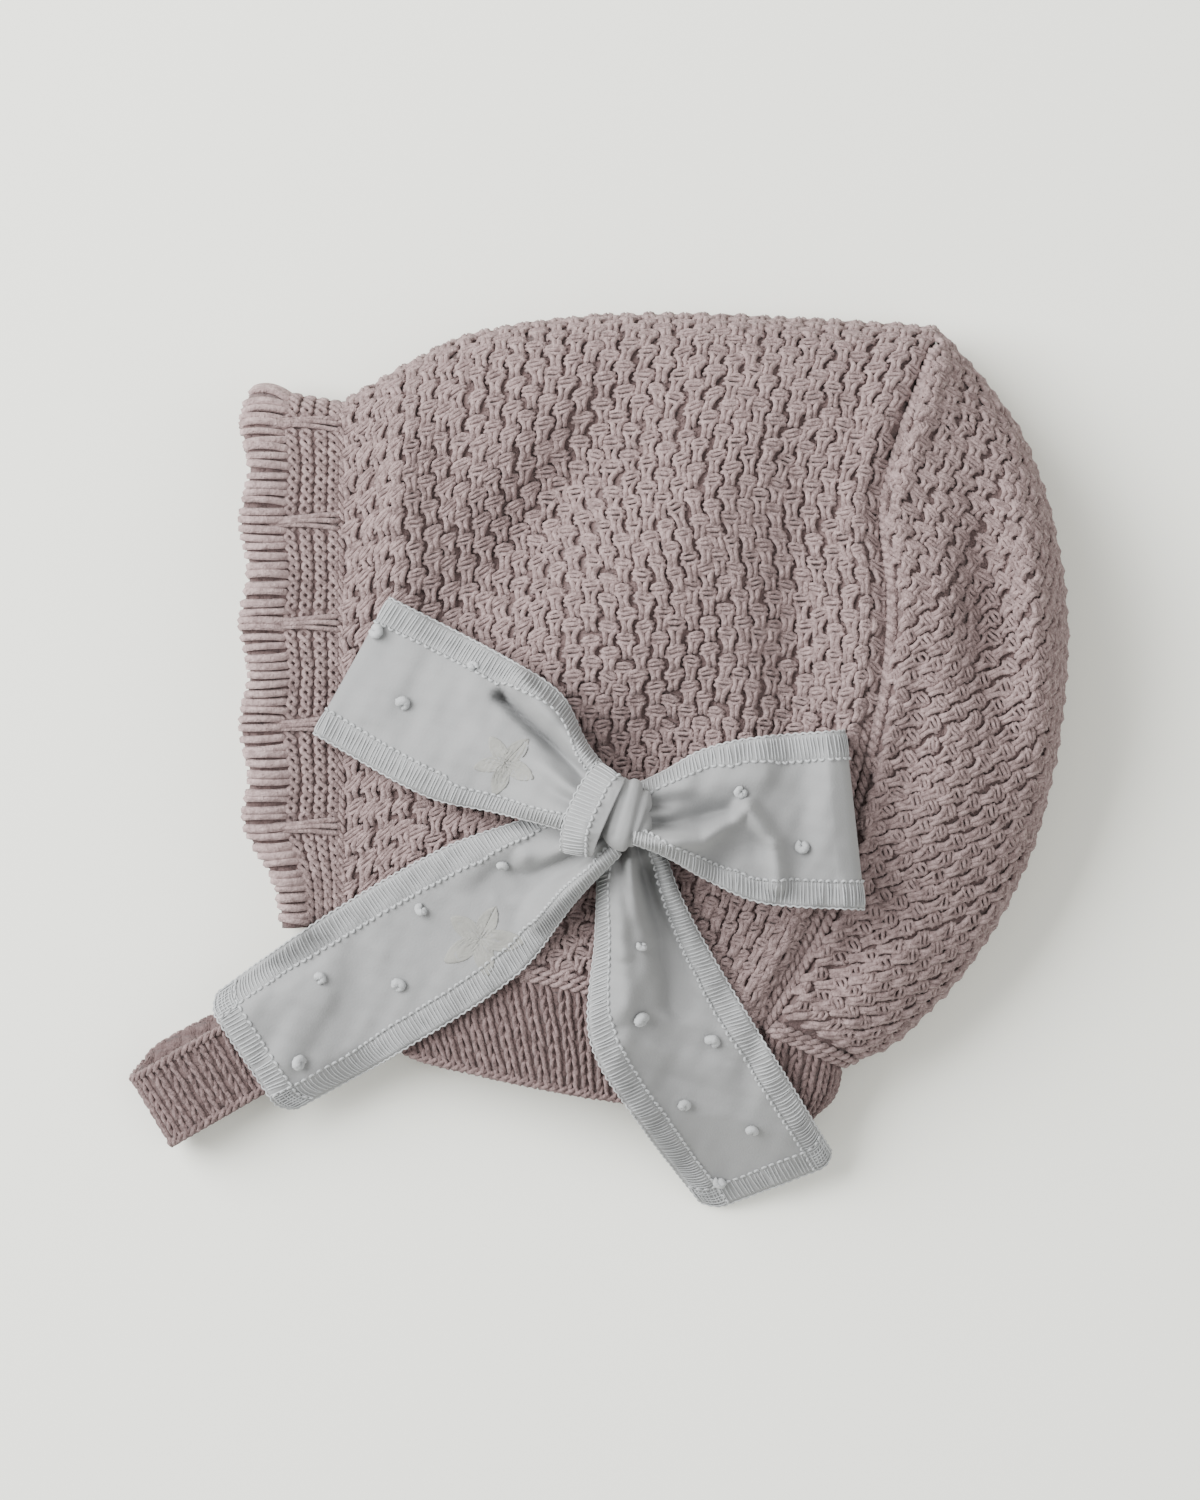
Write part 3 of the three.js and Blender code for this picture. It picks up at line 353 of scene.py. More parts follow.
def cotton(name, pale, deep, finish, purl=0.0):
    """Matt cotton: two close shades in drifts, under fine fibres. Cloth seen as a whole has the
    small bumps of its wrong side too, purl millimetres high."""
    material = bpy.data.materials.new(name)
    material.use_nodes = True
    tree = material.node_tree
    shader = tree.nodes["Principled BSDF"]
    place = tree.nodes.new("ShaderNodeTexCoord").outputs["Object"]

    def add(kind, values):
        node = tree.nodes.new(f"ShaderNode{kind}")
        for socket, value in values.items():
            node.inputs[socket].default_value = value
        return node

    for socket, value in finish["surface"].items():
        shader.inputs[socket].default_value = value
    drift = add("TexNoise", finish["drift"])
    spread = add("MapRange", finish["spread"])
    shades = tree.nodes.new("ShaderNodeMix")
    shades.data_type = "RGBA"
    shades.inputs["A"].default_value = (*deep, 1)
    shades.inputs["B"].default_value = (*pale, 1)
    fibres = add("TexNoise", finish["fibres"])
    bump = add("Bump", finish["bump"])
    tree.links.new(place, drift.inputs["Vector"])
    tree.links.new(place, fibres.inputs["Vector"])
    tree.links.new(drift.outputs["Fac"], spread.inputs["Value"])
    tree.links.new(spread.outputs["Result"], shades.inputs["Factor"])
    tree.links.new(shades.outputs["Result"], shader.inputs["Base Color"])
    tree.links.new(fibres.outputs["Fac"], bump.inputs["Height"])
    tree.links.new(bump.outputs["Normal"], shader.inputs["Normal"])
    if purl:
        bumps = add("TexVoronoi", {"Scale": 340, "Randomness": 0.35})
        raised = add("Bump", {"Strength": 1.0, "Distance": -purl * MM})
        tree.links.new(place, bumps.inputs["Vector"])
        tree.links.new(bumps.outputs["Distance"], raised.inputs["Height"])
        tree.links.new(raised.outputs["Normal"], bump.inputs["Normal"])
    return material


yarn_finish = dict(
    surface={
        "Roughness": 0.95, "Specular IOR Level": 0.15, "Sheen Weight": 0.1, "Sheen Roughness": 0.6,
    },
    drift={"Scale": 700, "Detail": 5, "Roughness": 0.72},
    spread={"From Min": 0.37, "From Max": 0.63},
    fibres={"Scale": 2200, "Detail": 3},
    bump={"Strength": 0.9, "Distance": 0.5 * MM},
)
# The darkest pink below is painted shade, shared by the rib and the cloth's ground.
painted_shade_pink = (0.12, 0.081, 0.079)
pink_yarn = cotton("pink_cotton_yarn", (0.36, 0.266, 0.26), (0.165, 0.115, 0.112), yarn_finish)
# The rib's darker pink is painted shade: the neck band faces down and away from the light.
pink_rib_yarn_painted_shade = cotton("pink_rib_yarn_painted_shade", (0.245, 0.172, 0.168), painted_shade_pink, yarn_finish)
# The ground's darker pink is painted shade: it fills the holes between the stitches, where there is only
# shade.
pink_ground_painted_shade = cotton("pink_cotton_ground_painted_shade", (0.18, 0.124, 0.12), painted_shade_pink, yarn_finish, purl=1.6)

row_height = 2.53
leg_radius = 0.64
bar_radius = 0.48
ground_depth = 1.15  # how far the cloth's ground lies under its outside
ground_wall = 1.3


def ground(cloth, across, along, last=1.0):
    """The cloth's ground behind its stitches, a thin closed wall. It stands for the cloth's wrong side,
    and its darker pink is painted shade in the holes between the stitches.
    """
    share = np.linspace(0, last, across)[:, None]
    near, total = cloth.ends(share)
    run = np.linspace(0, 1, along)[None] * total - near
    points, normals = cloth.place(share + 0 * run, run)
    return wall(points - ground_depth * normals, points - (ground_depth + ground_wall) * normals)


# One loop of seed stitch, in stitch widths and row heights from its middle: across, up and depth.
# The legs come up side by side from under the bump below, and spread into the wide head.
half_loop = [
    (-0.24, -0.85, -1.3), (-0.17, -0.68, -0.3), (-0.13, -0.4, 0.3), (-0.13, -0.1, 0.36),
    (-0.2, 0.18, 0.02), (-0.36, 0.55, -0.36), (-0.46, 0.88, -0.3), (-0.33, 1.14, -0.16),
]


def mirrored(half, middle):
    """A line of yarn from its left half and its middle."""
    return half + [middle] + [(-x, y, z) for x, y, z in reversed(half)]


loop_line = mirrored(half_loop, (0, 1.2, -0.1))

# Two more strands of each bump, which pass over the legs: the yarn on its way to the next loops
bar_lines = []
for bar_up, bar_lift in ((0.8, -0.05), (0.41, -0.08)):
    half_bar = [
        (-0.62, bar_up + 0.1, -1), (-0.53, bar_up + 0.08, -0.3), (-0.32, bar_up + 0.03, bar_lift - 0.03),
    ]
    bar_lines.append(mirrored(half_bar, (0, bar_up, bar_lift)))

# How thick the yarn is along each: full in the legs, drawn thin in the head and the bars
loop_thickness = (
    [0, 0.3, 0.42, 0.58, 0.7, 1],
    [leg_radius, leg_radius, bar_radius, bar_radius, leg_radius, leg_radius],
)
bar_thickness = ([0, 1], [bar_radius, bar_radius])


def stitch_yarn(cloth, share, run, frame_of, line, steps, sides, seed, thickness):
    """Lays the same line of yarn at each stitch of a cloth, none quite like the next.
    frame_of turns stitch widths and rows into a share and a run of the cloth."""
    wild = np.random.default_rng(seed)
    count = len(share)
    x, y, depth = smooth_line(line, steps).T
    lean = wild.normal(0, 0.09, (count, 1))
    wide, tall = 1 + wild.normal(0, 0.07, (2, count, 1))
    across, up, out = wild.normal(0, [[[0.055]], [[0.06]], [[0.08]]], (3, count, 1))
    drift = 0.14 * np.sin(run / 7.3 + 9 * share) + 0.1 * np.sin(run / 3.9 - 31 * share)
    twist = wild.normal(0, 0.05, (count, 1)) * np.sign(x)
    x, y = x * wide + lean * y + across + drift[:, None], y * tall + up + twist
    d_share, d_run = frame_of(x, y)
    points, normals = cloth.place(share[:, None] + d_share, run[:, None] + d_run)
    radius = np.interp(np.arange(steps) / (steps - 1), *thickness)
    lift = depth - radius + out
    lines = points + lift[..., None] * normals
    thick = radius * (1 + wild.normal(0, 0.05, (count, 1)) + wild.normal(0, 0.07, (count, steps)))
    return yarn(lines, normals, thick, sides)


def knit_up(node, cloth, stitches_between, frame_of, seed, near_end, far_start):
    """Makes a cloth's stitches: finer ones on its upper side, and plainer ones underneath."""
    for side_name, lowest, highest, steps, sides, bar_steps in (
        ("near", -200, near_end, 13, 5, 6),
        ("far", far_start, 200, 9, 4, 5),
    ):
        share, run = stitches_between(lowest, highest)
        loops = stitch_yarn(cloth, share, run, frame_of, loop_line, steps, sides, seed, loop_thickness)
        bars = [
            stitch_yarn(cloth, share, run, frame_of, line, bar_steps, 4, seed, bar_thickness)
            for line in bar_lines
        ]
        make_piece(f"{node}_loops_{side_name}", [loops], pink_yarn, [node])
        make_piece(f"{node}_bars_{side_name}", bars, pink_yarn, [node])


band_columns = 33
band_margin = 1.2  # what is left clear of stitches beside the neck seam
near_reach = 5  # how far past the crown fold the near side's finer stitches go


def band_stitches(lowest, highest):
    """Places of every other stitch of the crown band, row by row from the crown fold."""
    rows = np.arange(math.ceil(lowest / row_height), math.floor(highest / row_height) + 1)
    column, row = np.meshgrid(np.arange(band_columns), rows, indexing="ij")
    even = (column + row) % 2 == 0
    share = (column[even] + 0.5) / band_columns
    run = row[even] * row_height
    near, total = band.ends(share)
    kept = (run > band_margin - near) & (run < total - near - band_margin)
    return share[kept], run[kept]


def band_frame(x, y):
    return x / band_columns, y * row_height


knit_up("crown_band", band, band_stitches, band_frame, 5, near_reach, near_reach + row_height)
make_piece("crown_band_ground", [ground(band, 50, 120)], pink_ground_painted_shade, ["crown_band"])

# The back panel
# A second piece in seed stitch, set between the two ends of the crown band so that its rows run
# slantwise. It wraps the back of the head and meets the band in a raised seam on both sides.

panel_shares = np.linspace(0, 1, 110)


def panel_plan(reach):
    seam = back_seam.at(panel_shares * 0.995)[:, None]
    fold = back_fold.at(panel_shares)[:, None]
    return seam * (1 - reach[None, :, None]) + fold * reach[None, :, None]


panel = Cloth(*over_the_fold(panel_plan, 60), samples=200)
panel_height = back_fold.length * 0.93
panel_slant = 45
panel_stitch = 3.1
panel_margin = 0.9


def panel_frame(x, y):
    c, s = way_of(panel_slant)
    aside, up = x * panel_stitch, y * row_height
    return (aside * -s + up * c) / panel_height, aside * c + up * s


def panel_stitches(lowest, highest):
    """Places of every other stitch of the back panel, on rows that run slantwise."""
    column, row = np.meshgrid(np.arange(-60, 61), np.arange(-60, 61), indexing="ij")
    even = (column + row) % 2 == 0
    share, run = panel_frame(column[even].astype(float), row[even].astype(float))
    share = share + 0.5
    near, total = panel.ends(share)
    kept = (share > 0.03) & (share < 0.98)
    kept &= (run > panel_margin - near) & (run < total - near - panel_margin)
    kept &= (run >= lowest) & (run < highest)
    return share[kept], run[kept]


knit_up("back_panel", panel, panel_stitches, panel_frame, 6, near_reach, near_reach)
make_piece("back_panel_ground", [ground(panel, 44, 70, 0.98)], pink_ground_painted_shade, ["back_panel"])

# The back seams
# The two panels are whipped together edge to edge with the same yarn, which fills the join like
# a twisted cord. Low down, near the neck, their edge stitches roll up on each side of it.

cord_lay = 0.935  # how far a strand lies from its cord's middle, as a share of its radius


def cord_over(lines, ups, radius, pitch):
    """Two strands of yarn twisted round a line[m] that lies on a surface facing ups[m]."""
    run = run_along(lines)
    at = np.linspace(0, run[-1], int(run[-1] / pitch * 9))
    line, up = read_line(lines, run, at), unit(read_line(ups, run, at))
    side = unit(np.cross(np.gradient(line, axis=0), up))
    strands = []
    for turned in (0, 0.5):
        turn = 2 * np.pi * (at / pitch + turned)
        off = np.cos(turn)[:, None] * side + 0.8 * np.sin(turn)[:, None] * up
        strands.append(line + cord_lay * radius * off)
    lines = np.stack(strands)
    return yarn(lines, np.broadcast_to(up, lines.shape), radius)


def cord_on(cloth, share, run, sunk, radius, pitch):
    points, normals = cloth.place(share, run)
    return cord_over(points - sunk * normals, normals, radius, pitch)


along = np.linspace(0.01, 1, 200)
near, total = panel.ends(along * 0.97)
seam_cords = [
    cord_on(panel, along * 0.97, run, 0.9, 0.8, 3.1) for run in (-near - 0.15, total - near + 0.15)
]
low = 0.4 * along
band_side = np.full(200, 0.985)
near, total = band.ends(band_side)
for run in (low * near - near, total - low * near - near):
    seam_cords.append(cord_on(band, band_side, run, 0.35, 0.6, 3.6))
near, total = panel.ends(low)
for run in (0.8 - near, total - near - 0.8):
    seam_cords.append(cord_on(panel, low, run, 0.2, 0.6, 3.4))
make_piece("back_seam_cords", seam_cords, pink_yarn, ["back_panel"])

# Along the neck the stitches of both pieces end in a firm edge, where the rib is picked up.
neck_cords = []
for depth_down in (0.9, 2.6):
    share = np.linspace(0.005, 0.985, 160)
    near, total = band.ends(share)
    for run in (depth_down - near, total - near - depth_down):
        neck_cords.append(cord_on(band, share, run, 0.55, 0.56, 4.1))
    near, total = panel.ends(np.zeros(200))
    run = np.linspace(1.2, total[0] - 1.2, 200) - near
    neck_cords.append(cord_on(panel, np.full(200, depth_down / panel_height), run, 0.55, 0.56, 4.1))
make_piece("neck_edge_cords", neck_cords, pink_yarn, ["crown_band"])

# The face trim
# A frill knitted on along the face edge. Its hem is turned in over itself, four ridges of purl
# follow the seam, and a few long stitches gather it into a tuck every centimetre or two.

trim_width = 18.8
trim_wall = 2.3
tuck_count = 11
flute_depth = 1.5
trim_flare = 1.6
scallop_depth = 0.9
hem_start = 0.62
hem_bulge = 0.7
trim_taper = 0.115  # how much of each end, as a share, narrows towards the corner
front_near, front_total = (float(v) for v in band.ends(np.array(0.0)))


def ease(share, start, end):
    f = np.clip((share - start) / (end - start), 0, 1)
    return f * f * (3 - 2 * f)


def trim_place(along, out, lift=0.0):
    """A place on the trim: along the face edge and out from the seam as shares, then a lift."""
    along, out = np.broadcast_arrays(along, out)
    seam, facing = band.place(0 * along, along * front_total - front_near)
    facing = unit(facing * [0, 1, 1])
    on_floor = np.maximum(0, -facing[..., 2])
    swell = (1 - np.cos(2 * np.pi * along * tuck_count)) / 2
    stand = out * (trim_flare + flute_depth * (swell - on_floor) - trim_flare * on_floor)
    ends = ease(along, 0, trim_taper) * ease(1 - along, 0, trim_taper)
    span = out * (trim_width + scallop_depth * (1 - 2 * swell)) * (0.6 + 0.4 * ends)
    hem = hem_bulge * np.sin(np.pi * np.clip((out - hem_start) / (1 - hem_start), 0, 1))
    rise = stand + lift + hem * (1 - on_floor)
    seam = seam - np.stack([span, 0 * span, 0 * span], -1)
    return seam + rise[..., None] * facing, facing


def trim_ground():
    along, out = np.linspace(0, 1, 230)[:, None], np.linspace(0, 0.985, 14)[None]
    outer, facing = trim_place(along, out, -0.95)
    inner, facing = trim_place(along, out, -trim_wall)
    return wall(outer, inner)


purl_pitch = 3.8
purl_swing = 0.85
purl_radius = 0.56
ridge_places = [0.075, 0.215, 0.36, 0.51]
tuck_dip = 0.9
tuck_reach = 0.09
trim_rng = np.random.default_rng(8)


def purl_ridge(ridge_out):
    """A ridge of purl: two strands that wave against each other and dip at the tucks."""
    along = np.linspace(0, 1, int(front_total / purl_pitch * 8))
    from_tuck = np.abs((along * tuck_count + 0.5) % 1 - 0.5)
    dip = tuck_dip * bell(from_tuck / tuck_reach)
    strands = []
    for turned in (0, 0.5):
        wave = 2 * np.pi * (along * front_total / purl_pitch + turned)
        drift = np.interp(along, np.linspace(0, 1, 90), trim_rng.normal(0, 0.12, 90))
        out = ridge_out + (purl_swing * np.sin(wave) + drift) / trim_width
        strands.append(trim_place(along, out, 0.22 * np.cos(wave) - 0.62 - dip))
    lines, ups = np.swapaxes(strands, 0, 1)
    return yarn(lines, ups, purl_radius)


trim_parts = [purl_ridge(out) for out in ridge_places]

# The hem's floats: long stitches across it, which turn in over the edge
float_pitch = 1.75
float_radius = 0.86
floats = int(front_total / float_pitch)
along = (np.arange(floats) + 0.5) / floats + trim_rng.normal(0, 0.0009, floats)
share = np.linspace(0, 1, 13)
out = smooth_at([(0, 0.57), (0.12, 0.6), (0.72, 0.95), (0.88, 1.0), (1, 0.955)], share)
float_lift = [(0, -1.3), (0.12, -0.55), (0.35, -0.35), (0.72, -0.6), (0.88, -1.3), (1, -2.1)]
lift = smooth_at(float_lift, share)
fan = trim_rng.normal(0, 0.0022, (floats, 1)) * share
bow_out = 0.0012 * np.sin(np.pi * share) * trim_rng.choice([-1, 1], (floats, 1))
start = trim_rng.normal(0, 0.012, (floats, 1)) * (1 - share)
lines, facing = trim_place(along[:, None] + fan + bow_out, out + start, lift)
thick = float_radius * (1 + trim_rng.normal(0, 0.08, (floats, 1)))
# The floats' lighter pink is painted light: the hem stands up towards the light from the left.
hem_yarn_painted_light = cotton("pink_float_yarn_painted_light", (0.46, 0.345, 0.338), (0.25, 0.18, 0.176), yarn_finish)
make_piece("face_trim_hem", [yarn(lines, facing, thick)], hem_yarn_painted_light, ["face_trim"])

# The tucks: three long strands over the ridges, drawn together towards the hem
tucks = np.arange(1, tuck_count)
share = np.linspace(0, 1, 14)
for strand in (-1, 0, 1):
    spread = strand * (0.0052 - 0.0022 * share) + 0.0012 * np.sin(5 * share + strand)
    over_ridges = 0.5 * np.sin(np.pi * np.clip(share * 1.05, 0, 1)) ** 0.5
    lift = over_ridges - 1.2 * share**8 - 0.2 * abs(strand) - 0.45
    lines, facing = trim_place(tucks[:, None] / tuck_count + spread, 0.74 * share, lift)
    trim_parts.append(yarn(lines, facing, purl_radius))

# The line of sewing along the gathered seam
along = np.linspace(0.002, 0.998, 260)
lines, facing = trim_place(along, -0.005)
trim_parts.append(cord_over(lines - 0.75 * facing, facing, 0.5, 3.4))

make_piece("face_trim_yarn", trim_parts, pink_yarn, ["face_trim"])
make_piece("face_trim_ground", [trim_ground()], pink_ground_painted_shade, ["face_trim"])

# The neck band
# A strip of rib picked up along the neck edge and knitted downwards. Only its knit wales show,
# drawn close together, each a column of small Vs.

neck_band_width = 17
strip_wall = 2.1
rib_pitch = 3.3
rib_row = 2.35
rib_radius = 0.5
rib_room = 0.3  # how far the rib's yarn stands out under the under side
rib_depth = 0.75  # how far the rib's ground lies under its outside
corner_stand = 0.42  # the lower edge's height at the front corner, as a share of puff_height
edge_run = 22
edge_power = 2.3

# The lower edge: depth along the neck, then the drop below it as a share of neck_band_width
band_drop = [(0.077, 1.16), (0.12, 1.21), (0.36, 0.99), (0.53, 0.9), (0.62, 0.84), (0.65, 0.66)]
nape_spline = smooth_line([on_plan(*row) for row in [*neck_rows, nape_fold]])
edge_rows = []
for depth, below in band_drop:
    seam_y = nape_spline[int(round(depth / nape_fold[0] * (len(nape_spline) - 1))), 1]
    edge_rows.append((front_corner[0] + depth * bonnet_depth, seam_y - below * neck_band_width))
lower_edge = Outline(smooth_line(edge_rows))


def lower_edge_line(steps=80):
    """The lower edge over the body, to the nape's fold on the upper side and back underneath."""
    left = 1 - np.arange(steps + 1) / steps
    plan = lower_edge.at(1 - left**2)
    away = np.linalg.norm(plan - lower_edge.at(1), axis=1)
    low = 0.55 * fold_height
    level = puff_height * (corner_stand + 0.08 * ease(1 - left**2, 0, 0.4))
    upper = low + (level - low) * rounding(away, edge_run, edge_power)
    under = np.maximum(low * (1 - rounding(away, under_run / 2, edge_power)), rib_room)
    lines = [np.column_stack([plan, upper]), np.column_stack([plan, under])[-2::-1]]
    return Outline(np.concatenate(lines))


top_lines = over_the_fold(lambda reach: nape_line.at(reach)[None])[0]


class Strip:
    """A strip of rib between two edges, read along it and down it as shares. Near its fold its
    middle bulges out in plan by belly."""

    def __init__(self, top, low, belly=(0, 0), samples=400, down=26):
        at = np.linspace(0, 1, samples)
        tops, lows = top.at(at)[:, None], low.at(at)[:, None]
        level = np.linspace(0, 1, down)[None, :, None]
        self.points = tops * (1 - level) + lows * level
        from_fold = at - top.shares[np.argmax(top.line[:, 0])]
        out = bell(from_fold / 0.07)[:, None] * np.sin(np.pi * level[..., 0])
        self.points[..., :2] += out[..., None] * belly
        self.normals = normals_of(self.points)
        if self.normals[samples // 4, down // 2, 2] < 0:
            self.normals = -self.normals
        self.length = (top.length + low.length) / 2
        self.width = float(np.linalg.norm(lows - tops, axis=-1).mean())

    def place(self, along, down):
        points = read_grid(self.points, along, down)
        return points, unit(read_grid(self.normals, along, down))


# A loop of rib, in wale widths and rows: the legs of a V, with the head under the next V
half_rib = [
    (-0.12, -0.75, -1.1), (-0.13, -0.45, -0.3), (-0.24, 0.1, 0), (-0.27, 0.6, -0.1), (-0.2, 0.95, -0.75),
]
rib_line = mirrored(half_rib, (0, 1.1, -1.0))


def rib_yarn(strip, seed):
    """Columns of Vs across a strip of rib."""
    wild = np.random.default_rng(seed)
    wales = int(round(strip.length / rib_pitch))
    rows = int(round(strip.width / rib_row))
    wale, row = np.meshgrid(np.arange(wales), np.arange(rows), indexing="ij")
    wale, row = wale.ravel(), row.ravel()
    x, y, depth = smooth_line(rib_line, 11).T
    lean = wild.normal(0, 0.05, (len(wale), 1))
    along = (wale[:, None] + 0.5 + x + lean * y + wild.normal(0, 0.03, (len(wale), 1))) / wales
    level = (row[:, None] + 0.5 + y + wild.normal(0, 0.05, (len(wale), 1))) / rows
    points, normals = strip.place(along, np.clip(level, -0.02, 1.02))
    lift = depth - rib_radius + 0.1
    lines = points + lift[..., None] * normals
    return yarn(lines, normals, rib_radius * (1 + wild.normal(0, 0.05, (len(wale), 1))))


def rib_ground(strip):
    points, normals = strip.points[::3, ::5], strip.normals[::3, ::5]
    return wall(points - rib_depth * normals, points - strip_wall * normals)


def edge_cord(strip, down):
    """The twisted edge of a strip of rib."""
    return cord_on(strip, np.linspace(0.004, 0.996, 260), np.full(260, down), 0.6, 0.5, rib_pitch)


neck_strip = Strip(Outline(top_lines[0]), lower_edge_line(), belly=(1.5, -1.0))
neck_rib = [rib_yarn(neck_strip, 11), edge_cord(neck_strip, 0.97)]
# The rib's darker yarn is painted shade on the neck band.
make_piece("neck_band_rib", neck_rib, pink_rib_yarn_painted_shade, ["neck_band"])
make_piece("neck_band_ground", [rib_ground(neck_strip)], pink_ground_painted_shade, ["neck_band"])

# The chin strap
# A narrow strip of the same rib, knitted crosswise from one front corner to the other. It lies
# doubled on itself, with its bend to the front.

strap_width = 15.6
strap_reach = 51
strap_stand = 13
strap_turn = 210

# Sections: along, top edge aside and up, lower edge aside and up, as shares of the sizes above
strap_sections = [
    (0.13, -0.08, 1.36, 0.02, 1.08), (0.4, -0.02, 1.26, 0, 0.98), (0.7, 0, 1.12, 0, 0.88),
    (0.92, 0, 0.94, 0, 0.78), (1, 0.02, 0.56, 0, 0.4), (0.93, 0.12, 0.14, 0.02, 0.05),
    (0.82, 0.2, 0, 0.06, 0), (0.5, 0.14, 0, 0.04, 0), (0.13, -0.08, 0, 0.02, 0),
]


def strap_edges():
    """The strap's two long edges, from the upper side's front corner round the bend and back."""
    root = np.append(lower_edge.at(0), corner_stand * puff_height)
    corner = body_point(front_corner[None], True)[0]
    way = way_of(strap_turn)
    aside = np.array([way[1], -way[0]])
    middle = (root[:2] + front_corner) / 2
    edges = []
    for start, half, side_column in ((corner, 0.5, 1), (root, -0.5, 3)):
        start = start + np.append(way, 0)
        points = [start]
        for row in strap_sections:
            plan = middle + way * row[0] * strap_reach + aside * (half + row[side_column]) * strap_width
            points.append(np.append(plan, row[side_column + 1] * strap_stand))
        points.append(start * [1, 1, 0])
        line = smooth_line(points)
        line[:, 2] = np.maximum(line[:, 2], rib_room)
        edges.append(Outline(line))
    return edges


strap_strip = Strip(*strap_edges())
strap_rib = [rib_yarn(strap_strip, 12), edge_cord(strap_strip, 0.03), edge_cord(strap_strip, 0.97)]
# The strap's rib is in the same darker yarn, painted shade.
make_piece("chin_strap_rib", strap_rib, pink_rib_yarn_painted_shade, ["chin_strap"])
make_piece("chin_strap_ground", [rib_ground(strap_strip)], pink_ground_painted_shade, ["chin_strap"])

# The bow's ribbon
# A length of white cotton ribbon, tied on the side of the bonnet. It has tufted dots and a woven
# star here and there, and white overlocking along its edges.

knot_width = 9
knot_length = 14.5
knot_height = 8
ribbon_width = 30
ribbon_rise = 0.9  # the middle of the cloth above the knit that it lies on
cloth_wall = 0.4
pleat_depth = 1.1
drape_slope = 0.85
knot_at = on_plan(0.379, 0.18)

# Each ribbon: its way from the knot in degrees, its length, its half-widths to the left and to
# the right as shares of ribbon_width, and its creases: from, to, width and lift, all in plan from
# the knot. A loop also has the radius of its end fold, and how high it puffs up and where.
# Swells are rounder: middle, width and height.
tail_back = dict(
    turn=-68.3, length=80, cut=84, held="draped", rests_on=["crown_band", "neck_band"],
    left=[(0, 0.2), (0.2, 0.18), (0.45, 0.26), (0.72, 0.38), (1, 0.5)],
    right=[(0, 0.2), (0.2, 0.42), (0.45, 0.7), (0.72, 0.6), (1, 0.42)],
    creases=[
        ((1.4, -9), (1, -27), 2.4, 3.1), ((1, -27), (1.4, -37), 2.8, 2.4),
        ((5.6, -11), (9.8, -25), 2.5, -4.8), ((9.8, -25), (11.8, -36), 2.9, -5),
        ((2, -44), (18, -50), 3, 0.9), ((12, -52), (24, -66), 5, -0.8),
    ],
    swells=[
        ((4, -17), 10, 4.4), ((6.5, -31), 9, 4.4), ((-5, -42), 9, 5), ((-3, -53), 9, 5.5),
        ((2, -65), 9, 6),
    ],
)
tail_front = dict(
    turn=213.3, length=88, cut=92, held="draped", rests_on=["crown_band", "chin_strap"],
    left=[(0, 0.2), (0.15, 0.3), (0.35, 0.49), (0.7, 0.5), (1, 0.44)],
    right=[(0, 0.2), (0.15, 0.32), (0.35, 0.45), (0.7, 0.5), (1, 0.47)],
    creases=[
        ((-5.6, -10), (-16, -20), 1.8, 2.4), ((-8, -3.5), (-18, -8), 2.2, 3),
        ((-7, -7.4), (-22, -14), 2.2, -3.2), ((-20, -5), (-30, -12), 3, 0.8),
        ((-24, -12), (-38, -26), 5, -0.9), ((-58, -36), (-66, -48), 3, 1),
        ((-52, -32), (-58, -42), 4, -0.7),
    ],
)
loop_back = dict(
    cut=99, held="folded", rests_on=["crown_band", "bow_tail_back"],
    turn=-0.7, length=48, slant=0.09, peak=1.6, fold=4.4, puff=2,
    left=[(0, 0.2), (0.15, 0.3), (0.32, 0.43), (0.55, 0.51), (1, 0.57)],
    right=[(0, 0.16), (0.15, 0.25), (0.32, 0.39), (0.55, 0.53), (1, 0.57)],
    creases=[
        ((5, -4.6), (16.4, -4.2), 1.6, 3), ((16.4, -4.2), (24.8, 2), 1.6, 3.2),
        ((24.8, 2), (30, -5), 1.6, 3), ((30, -5), (30.8, -13), 1.8, 2.2),
        ((8, -0.5), (21, 1), 2, -3), ((19, -8), (26, -5), 2.4, -1.2), ((9, 5), (28, 8), 2.6, 1.1),
        ((36, 10), (37, -14), 3, -0.7),
    ],
)
loop_front = dict(
    cut=122, held="folded", rests_on=["crown_band", "bow_tail_front"],
    turn=150.5, length=60, peak=1, fold=1.3, puff=5,
    left=[(0, 0.2), (0.15, 0.27), (0.32, 0.36), (0.55, 0.49), (1, 0.5)],
    right=[(0, 0.2), (0.15, 0.3), (0.32, 0.5), (0.55, 0.53), (1, 0.5)],
    creases=[
        ((-23, 23.5), (-5, 6.8), 1.1, -4.8), ((-19, 26.5), (-5, 10.5), 2, 3),
        ((-27, 15), (-9, 4), 2.8, 1.5), ((-40, 20), (-24, 14), 5, -0.8), ((-38, 34), (-48, 22), 4, 0.8),
    ],
)

plan_low = np.array([-140.0, -118.0])  # the corner of the heights' grid
plan_places = (250, 230)


def top_of(surfaces):
    """The height of what lies there already, on a grid in plan with a place at each millimetre."""
    top = np.zeros(plan_places)
    for points in surfaces:
        flat = points.reshape(-1, 3)
        i, j = np.rint(flat[:, :2] - plan_low).astype(int).T
        np.maximum.at(top, (i, j), flat[:, 2])
    return top


def neighbours(top):
    """The grid moved by one place each way, and how far it moved."""
    for i in (-1, 0, 1):
        for j in (-1, 0, 1):
            yield math.hypot(i, j), np.roll(top, (i, j), (0, 1))


